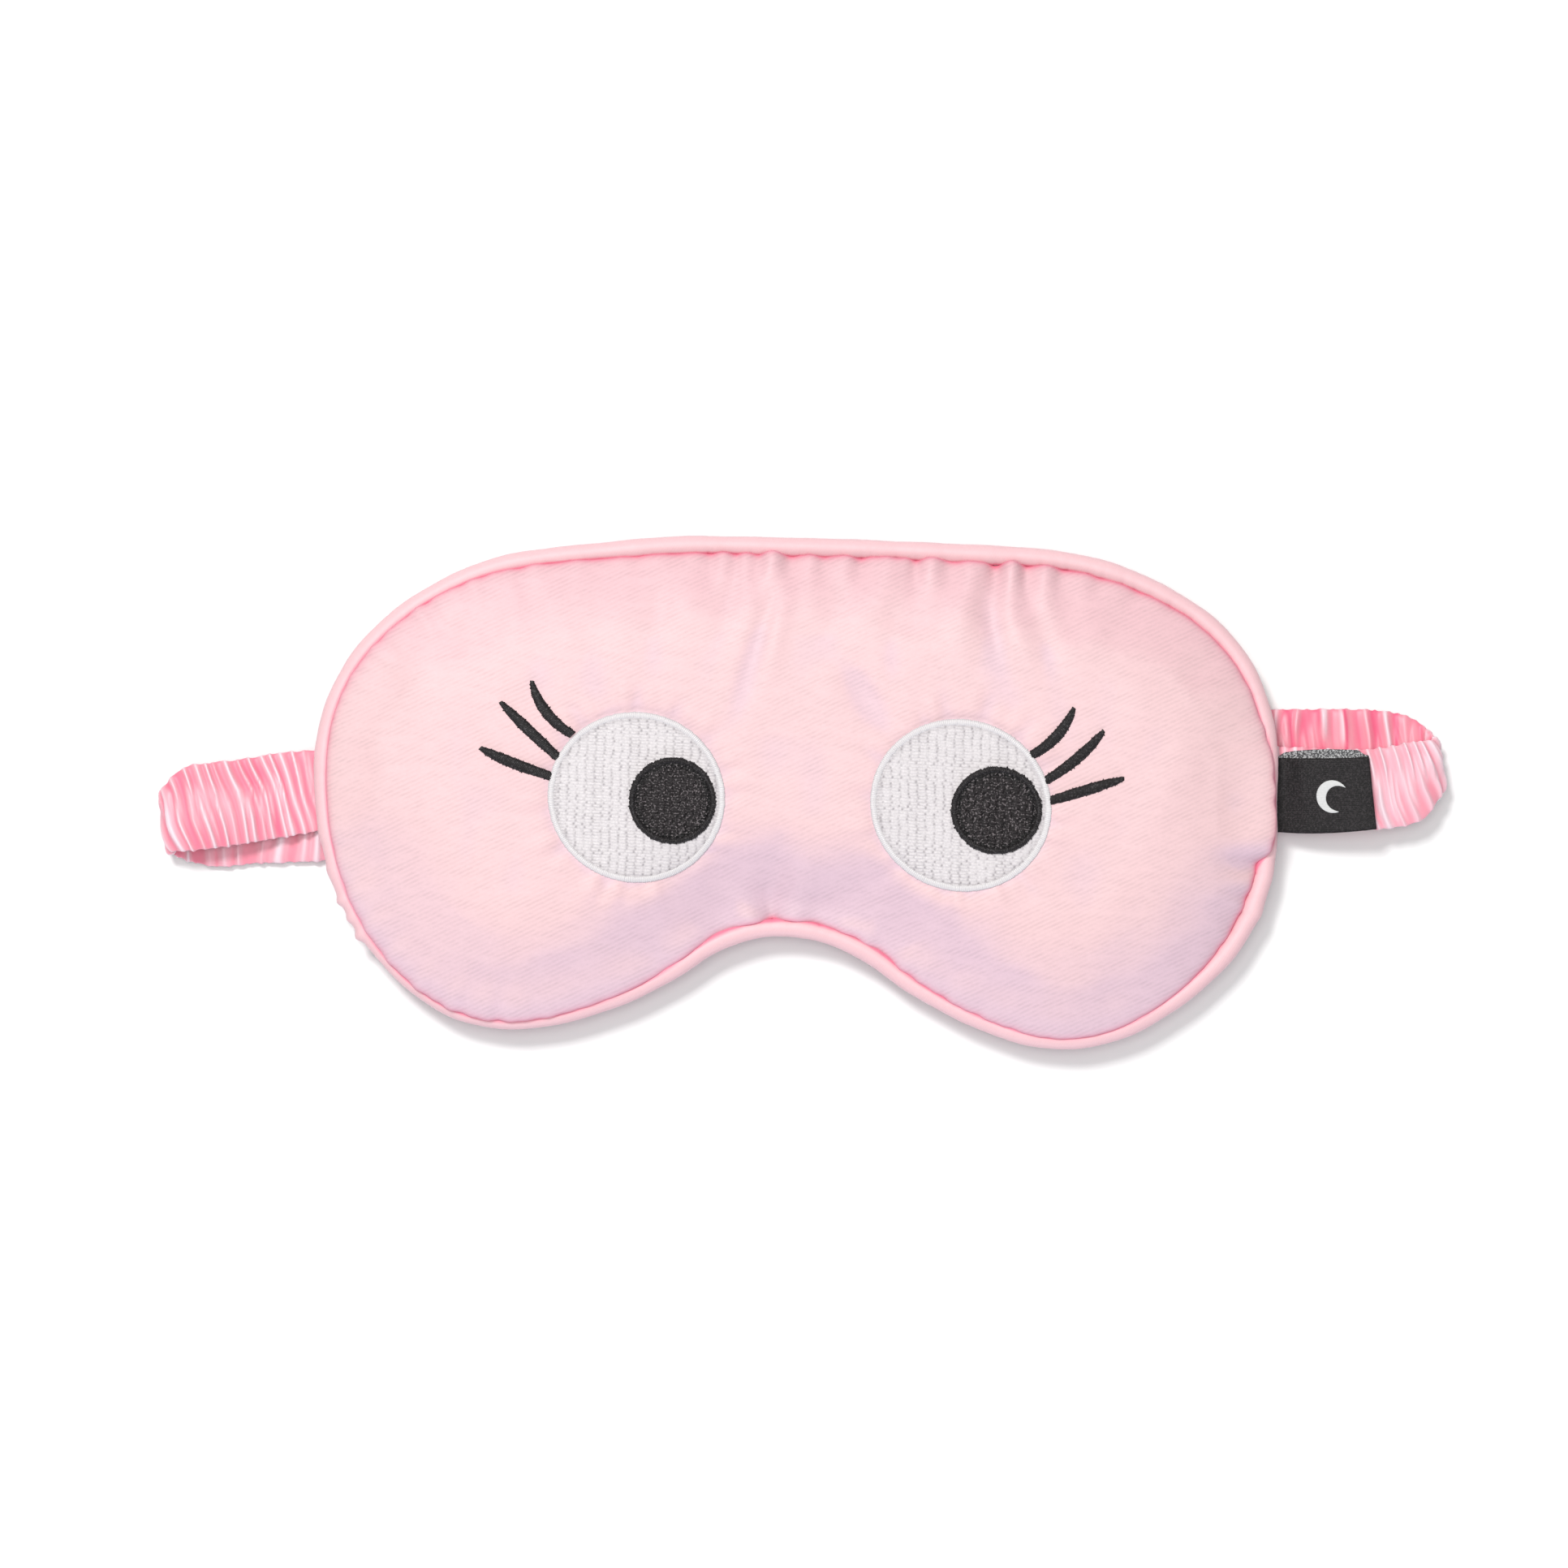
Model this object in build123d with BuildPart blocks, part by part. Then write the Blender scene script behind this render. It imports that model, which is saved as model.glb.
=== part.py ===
from build123d import *
import math
import os

# Padded satin sleep eye mask, lying face up on its own folded head strap.
# Frame: z = 0 is the surface it lies on, +Z out of the face, +Y towards the
# brow edge, +X towards the side with the woven label. Millimetres.

os.makedirs("parts", exist_ok=True)

# ---------------------------------------------------------------- dimensions
# Half outline of the mask, over the piping: tangent arcs from the middle of
# the brow edge round the side to the nose notch, as (radius, turn in degrees).
# The last arc, the concave nose notch, follows from the others.
HALF_ARCS = [(1456.05, 0.86), (381.88, 2.89), (94.26, 23.87), (36.72, 39.14),
             (57.88, 27.64), (57.55, 25.92), (47.42, 32.70), (36.43, 41.41),
             (80.65, 22.41)]
BROW_Y = 51.863         # brow edge at the middle

PIPE_R = 2.0            # finished piping, 4 mm
PIPE_WALL = 0.45        # satin bias strip round the cord
CORD_R = 1.45           # filler cord
FACE_INSET = 4.2        # outline to the seam between piping and face
ALLOWANCE = 10.0        # outline to the raw edges inside the seam

Z_BACK = 0.3            # underside of the back, just clear of the table
Z_FACE = 15.7           # top of the padded face
R_FACE = 8.8            # rounding of the face towards the piping
R_BACK = 5.0            # rounding of the back towards the piping
Z_SEAM = 6.45           # middle of the piping flange
FLANGE_T = 0.40         # flange, two layers of satin
Z_PIPE = Z_SEAM - FLANGE_T / 2 - 0.05 + PIPE_R   # piping sits on its flange

SATIN = 0.45            # face and lining cloth
BLACKOUT = 0.30         # light-proof interlining behind the lining
CORE_IN = 0.85          # wadding inside the outer surface
BACKING_T = 0.30        # embroidery stabiliser under the face

# embroidered eyes
EYE_X, EYE_Y = 33.55, -2.55
EYE_R = 18.3
EYE_EDGE = 1.4          # satin-stitch border
PUPIL_DX, PUPIL_DY = 7.35, -0.85
PUPIL_R = 9.05
PUPIL_EDGE = 1.35
THREAD_T = 0.55         # height of the stitching above the face
LASH_T = 0.65
BACKING_R = 21.0

# lash centre lines: tip, middle, root, on each side
LEFT_LASHES = [((-55.8, 20.6), (-52.8, 14.4), (-47.2, 10.3)),
               ((-62.1, 16.0), (-56.5, 10.8), (-50.6, 5.4)),
               ((-66.1, 6.5), (-59.9, 3.8), (-52.0, 1.2))]
RIGHT_LASHES = [((56.4, 17.9), (53.1, 12.3), (48.3, 8.6)),
                ((62.8, 13.3), (58.0, 8.0), (51.4, 3.3)),
                ((67.2, 3.6), (59.7, 1.1), (52.5, -1.3))]
LASH_W = 2.2

# ruched strap: satin tube gathered over elastic
STRAP_W = 17.5
STRAP_T = 3.4
ROOT_T = 1.2            # strap end pressed flat in the seam
ELASTIC_W = 12.0
ELASTIC_T = 1.1
ELASTIC_ROOT_T = 0.6
SKEW = math.tan(math.radians(5.3))      # the rear run lies askew
LOOP_X = 132.3          # outermost point of each side loop
LOOP_R = 3.35           # centre-line radius of the loop
ROOT_X, ROOT_Y, ROOT_Z = 92.0, 3.0, 4.9

# woven label, folded double, sewn into the seam with the strap
LABEL_L = 18.2
LABEL_W = 15.0
LABEL_T = 1.0
LABEL_Y = 1.7
LABEL_RISE = 11.3       # lies on the strap, which rises outwards
TAIL_T = 0.55
HINGE_X, HINGE_Z = 101.2, 6.35

GAP = 0.3               # clearance between pieces on different bodies


# ------------------------------------------------------------------- helpers
def outline(inset, z):
    """Face bounded by the mask outline, moved inwards by inset, at height z."""
    with BuildSketch(Plane.XY.offset(z)) as face:
        with BuildLine():
            start = Vector(0, BROW_Y - inset)
            heading = Vector(1, 0)
            first = start
            turned = 0.0
            for radius, turn in HALF_ARCS:
                arc = JernArc(start, heading, radius - inset, -turn)
                start, heading = arc @ 1, arc % 1
                turned += turn
            back = turned - 180.0
            notch = JernArc(start, heading, start.X / math.sin(math.radians(back)), back)
            Line(notch @ 1, first)
        make_face()
        mirror(about=Plane.YZ)
    return face.sketch


def rim_path(inset, z):
    """Closed wire of the outline moved inwards by inset."""
    return outline(inset, z).faces()[0].outer_wire()


def pillow(inset):
    """The padded body, its whole surface moved inwards by inset."""
    with BuildPart() as body:
        add(outline(FACE_INSET + inset, Z_BACK + inset))
        extrude(amount=Z_FACE - Z_BACK - 2 * inset)
        fillet(body.faces().sort_by(Axis.Z)[-1].edges(), R_FACE - inset)
        fillet(body.faces().sort_by(Axis.Z)[0].edges(), R_BACK - inset)
    return body.part


def channel(grow):
    """Space that the rear run of the strap takes in the mask's back."""
    with BuildPart() as run:
        with BuildSketch(Plane.XY.offset(-1.0)):
            Rectangle(280, STRAP_W + 2 * (GAP + grow), rotation=math.degrees(math.atan(SKEW)))
        extrude(amount=1.0 + STRAP_T + GAP + grow)
    return run.part


def root_slots(grow):
    """Space that the two strap ends and the label's tail take in the seam."""
    with BuildPart() as slots:
        for side in (1, -1):
            with BuildSketch(Plane.XY.offset(ROOT_Z - ROOT_T / 2 - 0.1 - grow)):
                with Locations((side * (ROOT_X + 9 - grow), side * (ROOT_Y + 0.1))):
                    Rectangle(20, STRAP_W + 0.8 + 2 * grow)
            extrude(amount=ROOT_T + 0.2 + 2 * grow)
        with BuildSketch(Plane.XY.offset(5.5 - grow)):
            with Locations((ROOT_X + 9 - grow, LABEL_Y)):
                Rectangle(20, LABEL_W + 0.6 + 2 * grow)
        extrude(amount=TAIL_T + 0.2 + 2 * grow)
    return slots.part


def ring(inset_out, inset_in, z0, z1):
    """Flat band that follows the outline."""
    with BuildPart() as band:
        add(outline(inset_out, z0))
        extrude(amount=z1 - z0)
        with BuildPart(mode=Mode.SUBTRACT):
            add(outline(inset_in, z0))
            extrude(amount=z1 - z0)
    return band.part


# strap centre line: x, y, z, thickness, elastic thickness, heading of the
# strap in plan in degrees, from the +X seam out to the loop, back under the
# mask, and then the same turned half round about Z
def strap_stations():
    cx = LOOP_X - LOOP_R - STRAP_T / 2
    zc = STRAP_T / 2 + LOOP_R
    half = [(ROOT_X, 2.9, ROOT_Z, ROOT_T, ELASTIC_ROOT_T, 0),
            (97.0, 2.9, ROOT_Z, ROOT_T, ELASTIC_ROOT_T, 0),
            (101.0, 2.95, ROOT_Z, ROOT_T, ELASTIC_ROOT_T, 1),
            (104.0, 3.05, 5.25, 1.7, 0.8, 2),
            (108.0, 3.25, 5.70, 2.4, 1.0, 3),
            (112.0, 3.55, 6.20, 3.0, ELASTIC_T, 5),
            (117.0, 4.1, 7.00, STRAP_T, ELASTIC_T, 7),
            (122.0, 5.0, 7.85, STRAP_T, ELASTIC_T, 8)]
    bends = [(15, 6.2), (45, 6.8), (75, 7.6), (90, 8.0), (105, 8.4), (135, 9.1), (165, 9.7)]
    for deg, y in bends:
        a = math.radians(deg)
        half.append((cx + LOOP_R * math.sin(a), y, zc + LOOP_R * math.cos(a), STRAP_T, ELASTIC_T, 6.5))
    for x in (124.0, 118.0, 105.0, 80.0, 50.0, 20.0):
        y = {124.0: 10.2, 118.0: 10.5}.get(x, x * SKEW)
        half.append((x, y, STRAP_T / 2, STRAP_T, ELASTIC_T, 5.3))
    other = [(-x, -y, z, t, e, h) for x, y, z, t, e, h in reversed(half)]
    return half + other


STATIONS = strap_stations()


def station_plane(i):
    """Section plane of the strap at station i: x_dir across its width, level."""
    lo, hi = max(i - 1, 0), min(i + 1, len(STATIONS) - 1)
    along = Vector(*STATIONS[hi][:3]) - Vector(*STATIONS[lo][:3])
    if i in (0, 1, len(STATIONS) - 2, len(STATIONS) - 1):
        along = Vector(1, 0, 0)
    elif 15 <= i < len(STATIONS) - 15:
        along = Vector(along.X, along.Y, 0)
    turn = math.radians(STATIONS[i][5])
    across = Vector(-math.sin(turn), math.cos(turn), 0)
    along = (along - across * along.dot(across)).normalized()
    return Plane(origin=Vector(*STATIONS[i][:3]), x_dir=across, z_dir=along)


# ---------------------------------------------------------------- mask body
outer_body = pillow(0.0)
inner_body = pillow(SATIN)
dark_out = pillow(SATIN + 0.05)
dark_in = pillow(SATIN + 0.05 + BLACKOUT)
core_body = pillow(CORE_IN)

# face cloth with its seam allowance
with BuildPart() as front_panel:
    add(outer_body)
    add(inner_body, mode=Mode.SUBTRACT)
    split(bisect_by=Plane.XY.offset(Z_SEAM + FLANGE_T / 2 + 0.05), keep=Keep.TOP)
    add(ring(FACE_INSET + 0.2, ALLOWANCE, Z_SEAM + 0.25, Z_SEAM + 0.55))
front_panel.part.label = "front_panel"

# back lining, dished over the strap, with its seam allowance
with BuildPart() as back_lining:
    add(outer_body)
    add(channel(0.0), mode=Mode.SUBTRACT)
    with BuildPart(mode=Mode.SUBTRACT):
        add(inner_body)
        add(channel(SATIN), mode=Mode.SUBTRACT)
    split(bisect_by=Plane.XY.offset(Z_SEAM - FLANGE_T / 2 - 0.05), keep=Keep.BOTTOM)
    add(ring(FACE_INSET + 0.2, ALLOWANCE, Z_SEAM - 0.60, Z_SEAM - 0.25))
    add(root_slots(0.0), mode=Mode.SUBTRACT)
back_lining.part.label = "back_lining"

# light-proof interlining over the back
with BuildPart() as blackout_layer:
    add(dark_out)
    add(channel(SATIN + 0.05), mode=Mode.SUBTRACT)
    with BuildPart(mode=Mode.SUBTRACT):
        add(dark_in)
        add(channel(SATIN + 0.05 + BLACKOUT), mode=Mode.SUBTRACT)
    split(bisect_by=Plane.XY.offset(Z_SEAM - 0.65), keep=Keep.BOTTOM)
    add(root_slots(0.05), mode=Mode.SUBTRACT)
blackout_layer.part.label = "blackout_layer"

# wadding, slit round its edge for the seam allowances
with BuildPart() as wadding:
    add(core_body)
    add(channel(CORE_IN), mode=Mode.SUBTRACT)
    add(root_slots(0.1), mode=Mode.SUBTRACT)
    add(ring(0.0, ALLOWANCE + 0.3, Z_SEAM - 0.85, Z_SEAM + 0.65), mode=Mode.SUBTRACT)
wadding.part.label = "wadding"

# piping: bias-cut satin round a cord, with its flange in the seam
with BuildPart() as piping_cover:
    with BuildSketch(Plane(origin=(0, BROW_Y - PIPE_R, Z_PIPE), x_dir=(0, 1, 0), z_dir=(1, 0, 0))):
        Circle(PIPE_R)
        Circle(PIPE_R - PIPE_WALL, mode=Mode.SUBTRACT)
    sweep(path=rim_path(PIPE_R, Z_PIPE))
    add(ring(PIPE_R, ALLOWANCE, Z_SEAM - FLANGE_T / 2, Z_SEAM + FLANGE_T / 2))
    with BuildPart(mode=Mode.SUBTRACT):
        with BuildSketch(Plane(origin=(0, BROW_Y - PIPE_R, Z_PIPE), x_dir=(0, 1, 0), z_dir=(1, 0, 0))):
            Circle(PIPE_R - PIPE_WALL)
        sweep(path=rim_path(PIPE_R, Z_PIPE))
piping_cover.part.label = "piping_cover"

with BuildPart() as piping_cord:
    with BuildSketch(Plane(origin=(0, BROW_Y - PIPE_R, Z_PIPE), x_dir=(0, 1, 0), z_dir=(1, 0, 0))):
        Circle(CORD_R)
    sweep(path=rim_path(PIPE_R, Z_PIPE))
piping_cord.part.label = "piping_cord"

# thread of the perimeter seam, through the flange and both allowances
with BuildPart() as seam_thread:
    with BuildSketch(Plane(origin=(0, BROW_Y - 5.6, Z_SEAM), x_dir=(0, 1, 0), z_dir=(1, 0, 0))):
        Circle(0.17)
    sweep(path=rim_path(5.6, Z_SEAM))
seam_thread.part.label = "seam_thread"

nodes = [front_panel, back_lining, blackout_layer, wadding, piping_cover, piping_cord, seam_thread]


# --------------------------------------------------------------- embroidery
def disc(x, y, r, z0, t, hole=0.0):
    with BuildPart() as d:
        with BuildSketch(Plane.XY.offset(z0)):
            with Locations((x, y)):
                Circle(r)
                if hole:
                    Circle(hole, mode=Mode.SUBTRACT)
        extrude(amount=t)
        if t > 0.4:
            chamfer(d.faces().sort_by(Axis.Z)[-1].edges(), 0.15)
    return d


FACE_TOP = Z_FACE + 0.03
for side, sx in (("left", -EYE_X), ("right", EYE_X)):
    px, py = sx + PUPIL_DX, EYE_Y + PUPIL_DY
    backing = disc(sx, EYE_Y, BACKING_R, Z_FACE - SATIN - 0.05 - BACKING_T, BACKING_T)
    backing.part.label = side + "_embroidery_backing"
    white = disc(sx, EYE_Y, EYE_R - EYE_EDGE - 0.03, FACE_TOP, THREAD_T)
    white.part.label = side + "_eye_white"
    border = disc(sx, EYE_Y, EYE_R, FACE_TOP, THREAD_T + 0.2, hole=EYE_R - EYE_EDGE)
    border.part.label = side + "_eye_border"
    pupil_z = FACE_TOP + THREAD_T + 0.03
    pupil = disc(px, py, PUPIL_R - PUPIL_EDGE - 0.03, pupil_z, 0.5)
    pupil.part.label = side + "_pupil"
    pupil_border = disc(px, py, PUPIL_R, pupil_z, 0.65, hole=PUPIL_R - PUPIL_EDGE)
    pupil_border.part.label = side + "_pupil_border"
    nodes += [backing, white, border, pupil, pupil_border]


def lash_set(lashes):
    with BuildPart() as group:
        for tip, mid, root in lashes:
            t, m, r = Vector(*tip), Vector(*mid), Vector(*root)
            nt = (m - t).normalized().rotate(Axis.Z, 90)
            nm = (r - t).normalized().rotate(Axis.Z, 90)
            nr = (r - m).normalized().rotate(Axis.Z, 90)
            with BuildSketch(Plane.XY.offset(FACE_TOP)):
                with BuildLine():
                    ThreePointArc(t + nt * 0.45, m + nm * LASH_W / 2, r + nr * 0.85)
                    Line(r + nr * 0.85, r - nr * 0.85)
                    ThreePointArc(r - nr * 0.85, m - nm * LASH_W / 2, t - nt * 0.45)
                    Line(t - nt * 0.45, t + nt * 0.45)
                make_face()
            extrude(amount=LASH_T)
    return group


left_lashes = lash_set(LEFT_LASHES)
left_lashes.part.label = "left_lashes"
right_lashes = lash_set(RIGHT_LASHES)
right_lashes.part.label = "right_lashes"
nodes += [left_lashes, right_lashes]

# -------------------------------------------------------------------- strap
# ruched satin tube, one piece from seam to seam
with BuildPart() as strap_cover:
    for i, (x, y, z, t, e, h) in enumerate(STATIONS):
        with BuildSketch(station_plane(i)):
            RectangleRounded(STRAP_W if 3 <= i < len(STATIONS) - 3 else STRAP_W - 0.6, t, min(1.3, t * 0.36))
    loft(ruled=True)
    with BuildPart(mode=Mode.SUBTRACT):
        for i, (x, y, z, t, e, h) in enumerate(STATIONS):
            with BuildSketch(station_plane(i)):
                Rectangle(ELASTIC_W + 0.4, e + 0.12)
        loft(ruled=True)
strap_cover.part.label = "strap_cover"

with BuildPart() as elastic_band:
    for i, (x, y, z, t, e, h) in enumerate(STATIONS):
        with BuildSketch(station_plane(i)):
            Rectangle(ELASTIC_W, e - 0.04)
    loft(ruled=True)
elastic_band.part.label = "elastic_band"
nodes += [strap_cover, elastic_band]

# bar tacks that hold the strap ends to the seam, lying on each strap end
for side, s in (("left", -1), ("right", 1)):
    with BuildPart() as tack:
        with BuildSketch(Plane.XY.offset(ROOT_Z + ROOT_T / 2 + 0.02)):
            with Locations((s * 93.2, s * ROOT_Y)):
                Rectangle(1.2, 14.0)
        extrude(amount=0.25)
    tack.part.label = side + "_strap_tack"
    nodes.append(tack)

# -------------------------------------------------------------------- label
lift = Plane(origin=(HINGE_X, LABEL_Y, HINGE_Z + 0.1), x_dir=(math.cos(math.radians(LABEL_RISE)), 0, math.sin(math.radians(LABEL_RISE))),
             z_dir=(-math.sin(math.radians(LABEL_RISE)), 0, math.cos(math.radians(LABEL_RISE))))

# two woven leaves joined by the fold at the outer end
with BuildPart() as label:
    with BuildSketch(lift.offset(-LABEL_T / 2)):
        with Locations((0.35 + LABEL_L / 2, 0)):
            RectangleRounded(LABEL_L, LABEL_W, 0.4)
    extrude(amount=LABEL_T)
    with BuildSketch(lift.offset(-0.15)):
        with Locations((0.35 + LABEL_L / 2 - 0.5, 0)):
            Rectangle(LABEL_L, LABEL_W + 2)
    extrude(amount=0.3, mode=Mode.SUBTRACT)
label.part.label = "label"

# plain crescent woven on the upper leaf
with BuildPart() as label_motif:
    with BuildSketch(lift.offset(LABEL_T / 2 + 0.02)):
        with Locations((LABEL_L / 2 + 0.2, 0)):
            Circle(3.2)
        with Locations((LABEL_L / 2 + 1.6, 0.7)):
            Circle(2.7, mode=Mode.SUBTRACT)
    extrude(amount=0.15)
label_motif.part.label = "label_motif"

with BuildPart() as label_seam_tail:
    with BuildSketch(Plane.XY.offset(5.6)):
        with Locations((97.6, LABEL_Y)):
            Rectangle(6.2, LABEL_W)
    extrude(amount=TAIL_T)
label_seam_tail.part.label = "label_seam_tail"
nodes += [label, label_motif, label_seam_tail]

for node in nodes:
    export_step(node.part, f"parts/{node.part.label}.step")
    size = node.part.bounding_box().size
    print(f"{node.part.label:26s} solids {len(node.part.solids())} volume {node.part.volume:10.2f} size {size.X:.2f} {size.Y:.2f} {size.Z:.2f}")
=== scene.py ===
import math
import bpy
import numpy as np
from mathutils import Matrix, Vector
from mathutils.bvhtree import BVHTree


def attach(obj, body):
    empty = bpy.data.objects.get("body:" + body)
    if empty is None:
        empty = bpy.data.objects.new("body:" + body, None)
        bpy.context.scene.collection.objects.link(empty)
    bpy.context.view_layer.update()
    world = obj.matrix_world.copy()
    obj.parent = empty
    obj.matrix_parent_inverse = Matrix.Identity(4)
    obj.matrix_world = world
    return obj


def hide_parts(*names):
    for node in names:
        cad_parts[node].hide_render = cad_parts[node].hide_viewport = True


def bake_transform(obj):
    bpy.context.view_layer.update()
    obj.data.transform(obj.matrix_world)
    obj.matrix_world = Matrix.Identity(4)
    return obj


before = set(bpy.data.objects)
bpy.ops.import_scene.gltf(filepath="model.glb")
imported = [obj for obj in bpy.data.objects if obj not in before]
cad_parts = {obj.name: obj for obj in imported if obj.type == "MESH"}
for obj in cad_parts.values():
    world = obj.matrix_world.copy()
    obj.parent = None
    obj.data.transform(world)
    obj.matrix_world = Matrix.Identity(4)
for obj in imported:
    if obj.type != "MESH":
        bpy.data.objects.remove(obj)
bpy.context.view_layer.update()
rng = np.random.default_rng(11)
sc = bpy.context.scene

# Everything below is worked out in millimetres and written to meshes in metres.
# The mask lies face up on its folded strap: +Z out of the face, +Y brow, +X label.

# ------------------------------------------------------------------ small tools


def mesh_object(name, verts, faces, material=None, smooth=True, attrs=None):
    """Object from points in mm (N,3) and faces (quads as an array, or a list of arrays)."""
    groups = faces if isinstance(faces, list) else [faces]
    groups = [np.asarray(f, np.int32) for f in groups if len(f)]
    me = bpy.data.meshes.new(name)
    me.vertices.add(len(verts))
    me.vertices.foreach_set("co", (np.asarray(verts, float) * 0.001).astype(np.float32).ravel())
    loops = np.concatenate([g.ravel() for g in groups])
    sizes = np.concatenate([np.full(len(g), g.shape[1], np.int32) for g in groups])
    starts = np.concatenate([[0], np.cumsum(sizes)[:-1]]).astype(np.int32)
    me.loops.add(len(loops))
    me.loops.foreach_set("vertex_index", loops.astype(np.int32))
    me.polygons.add(len(sizes))
    me.polygons.foreach_set("loop_start", starts)
    me.polygons.foreach_set("loop_total", sizes)
    me.polygons.foreach_set("use_smooth", np.full(len(sizes), bool(smooth)))
    me.update(calc_edges=True)
    me.validate()
    for key, values in (attrs or {}).items():
        a = me.attributes.new(key, "FLOAT", "POINT")
        a.data.foreach_set("value", np.asarray(values, np.float32))
    ob = bpy.data.objects.new(name, me)
    sc.collection.objects.link(ob)
    if material:
        me.materials.append(material)
    return ob


def boundary_edges(faces):
    """Directed edges that only one face uses."""
    f = np.asarray(faces, np.int64)
    n = f.shape[1]
    e = np.concatenate([np.stack([f[:, k], f[:, (k + 1) % n]], 1) for k in range(n)])
    key = e.min(1) * (e.max() + 1) + e.max(1)
    _, inverse, count = np.unique(key, return_inverse=True, return_counts=True)
    return e[count[inverse] == 1]


def close_sheet(top, bottom, faces):
    """Closed body between two sheets with the same faces."""
    n = len(top)
    f = np.asarray(faces, np.int64)
    e = boundary_edges(f)
    sides = np.stack([e[:, 1], e[:, 0], e[:, 0] + n, e[:, 1] + n], 1)
    return np.concatenate([top, bottom]), [f, f[:, ::-1] + n, sides]


def smooth01(t):
    t = np.clip(t, 0, 1)
    return t * t * (3 - 2 * t)


def gauss(x, w):
    return np.exp(-((x / w) ** 2))


def ripples(x, y, n, lo, hi, seed, aniso=None):
    """Smooth random field from plane waves of wavelength lo to hi mm, about -1 to 1."""
    r = np.random.default_rng(seed)
    out = np.zeros_like(x, dtype=float)
    for _ in range(n):
        k = 2 * math.pi / r.uniform(lo, hi)
        a = r.uniform(0, math.pi) if aniso is None else aniso[0] + r.normal(0, aniso[1])
        out += np.sin(k * (x * math.cos(a) + y * math.sin(a)) + r.uniform(0, 6.283))
    return out / math.sqrt(n)


def spline_keys(pairs, period=None):
    """Smooth function through (x, value) pairs, periodic if a period is given."""
    xs, vs = np.array([p[0] for p in pairs], float), np.array([p[1] for p in pairs], float)
    if period:
        xs = np.concatenate([xs[-3:] - period, xs, xs[:3] + period])
        vs = np.concatenate([vs[-3:], vs, vs[:3]])
    m = np.gradient(vs, xs)

    def f(x):
        x = np.asarray(x, float)
        x = np.mod(x, period) if period else np.clip(x, xs[0], xs[-1])
        i = np.clip(np.searchsorted(xs, x) - 1, 0, len(xs) - 2)
        h = xs[i + 1] - xs[i]
        t = (x - xs[i]) / h
        return (
            (2 * t**3 - 3 * t**2 + 1) * vs[i] + (t**3 - 2 * t**2 + t) * h * m[i]
            + (-2 * t**3 + 3 * t**2) * vs[i + 1] + (t**3 - t**2) * h * m[i + 1]
        )

    return f


# ------------------------------------------------------------------ the outline
HALF_ARCS = [(1456.05, 0.86), (381.88, 2.89), (94.26, 23.87), (36.72, 39.14), (57.88, 27.64),
             (57.55, 25.92), (47.42, 32.70), (36.43, 41.41), (80.65, 22.41)]
BROW_Y = 51.863
# the sewn mask isn't quite symmetric: slow departures from the pattern, in mm
UNEVEN = [0.05, -0.231, 0.55, -0.11, 0.192, -0.009, 0.514, -0.032, -0.296, -0.037, -0.058, 0.037, -0.311, 0.073,
          0.055, 0.077, 0.106, 0.081, -0.104, 0.04, -0.141, -0.057, 0.097, -0.179, -0.017, -0.028, 0.076, 0.042, 0.02]


def resample(p, n):
    q = np.vstack([p, p[:1]])
    s = np.concatenate([[0], np.cumsum(np.linalg.norm(np.diff(q, axis=0), axis=1))])
    t = np.arange(n) / n * s[-1]
    return np.stack([np.interp(t, s, q[:, k]) for k in (0, 1)], 1), s[-1]


def pattern_outline(n):
    pts, nor = [], []
    p, h, turned = np.array([0.0, BROW_Y]), 0.0, 0.0
    for r, deg in HALF_ARCS:
        c = p + r * np.array([math.sin(h), -math.cos(h)])
        m = max(2, int(r * math.radians(deg) / 0.1))
        a = h - math.radians(deg) * np.arange(m) / m
        pts.append(c + r * np.stack([-np.sin(a), np.cos(a)], 1))
        h -= math.radians(deg)
        p = c + r * np.array([-math.sin(h), math.cos(h)])
        turned += deg
    b = math.radians(turned - 180)
    r = p[0] / math.sin(b)
    c = p - r * np.array([math.sin(h), -math.cos(h)])
    m = int(r * b / 0.1)
    a = h + b * np.arange(m + 1) / m
    pts.append(c + r * np.stack([np.sin(a), -np.cos(a)], 1))
    half = np.vstack(pts)
    return resample(np.vstack([half, (half * [-1, 1])[::-1][1:-1]]), n)


def normals_of(p):
    t = np.roll(p, -1, 0) - np.roll(p, 1, 0)
    t /= np.linalg.norm(t, axis=1)[:, None]
    return np.stack([-t[:, 1], t[:, 0]], 1)     # clockwise outline: outward


def real_outline(n):
    p, length = pattern_outline(5400)
    u = np.arange(5400) / 5400
    d = np.full_like(u, UNEVEN[0])
    for k in range(1, 15):
        d += UNEVEN[2 * k - 1] * np.cos(2 * math.pi * k * u) + UNEVEN[2 * k] * np.sin(2 * math.pi * k * u)
    # the face is drawn in a little where the label and the strap are sewn on
    near = ((p - np.array([99.6, 1.0])) ** 2).sum(1)
    d -= 0.85 * np.exp(-near / 7.5**2)
    q, length = resample(p + normals_of(p) * d[:, None], n)
    nor = normals_of(q)
    for _ in range(6):
        nor = nor * 0.5 + (np.roll(nor, 1, 0) + np.roll(nor, -1, 0)) * 0.25
    return q, nor / np.linalg.norm(nor, axis=1)[:, None], length


N_RIM = 900
OUT, NOR, RIM_LEN = real_outline(N_RIM)
S_RIM = np.arange(N_RIM) / N_RIM * RIM_LEN


def s_at(x, y):
    return float(S_RIM[np.argmin((OUT[:, 0] - x) ** 2 + (OUT[:, 1] - y) ** 2)])


def wrap(ds):
    return (ds + RIM_LEN / 2) % RIM_LEN - RIM_LEN / 2


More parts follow.
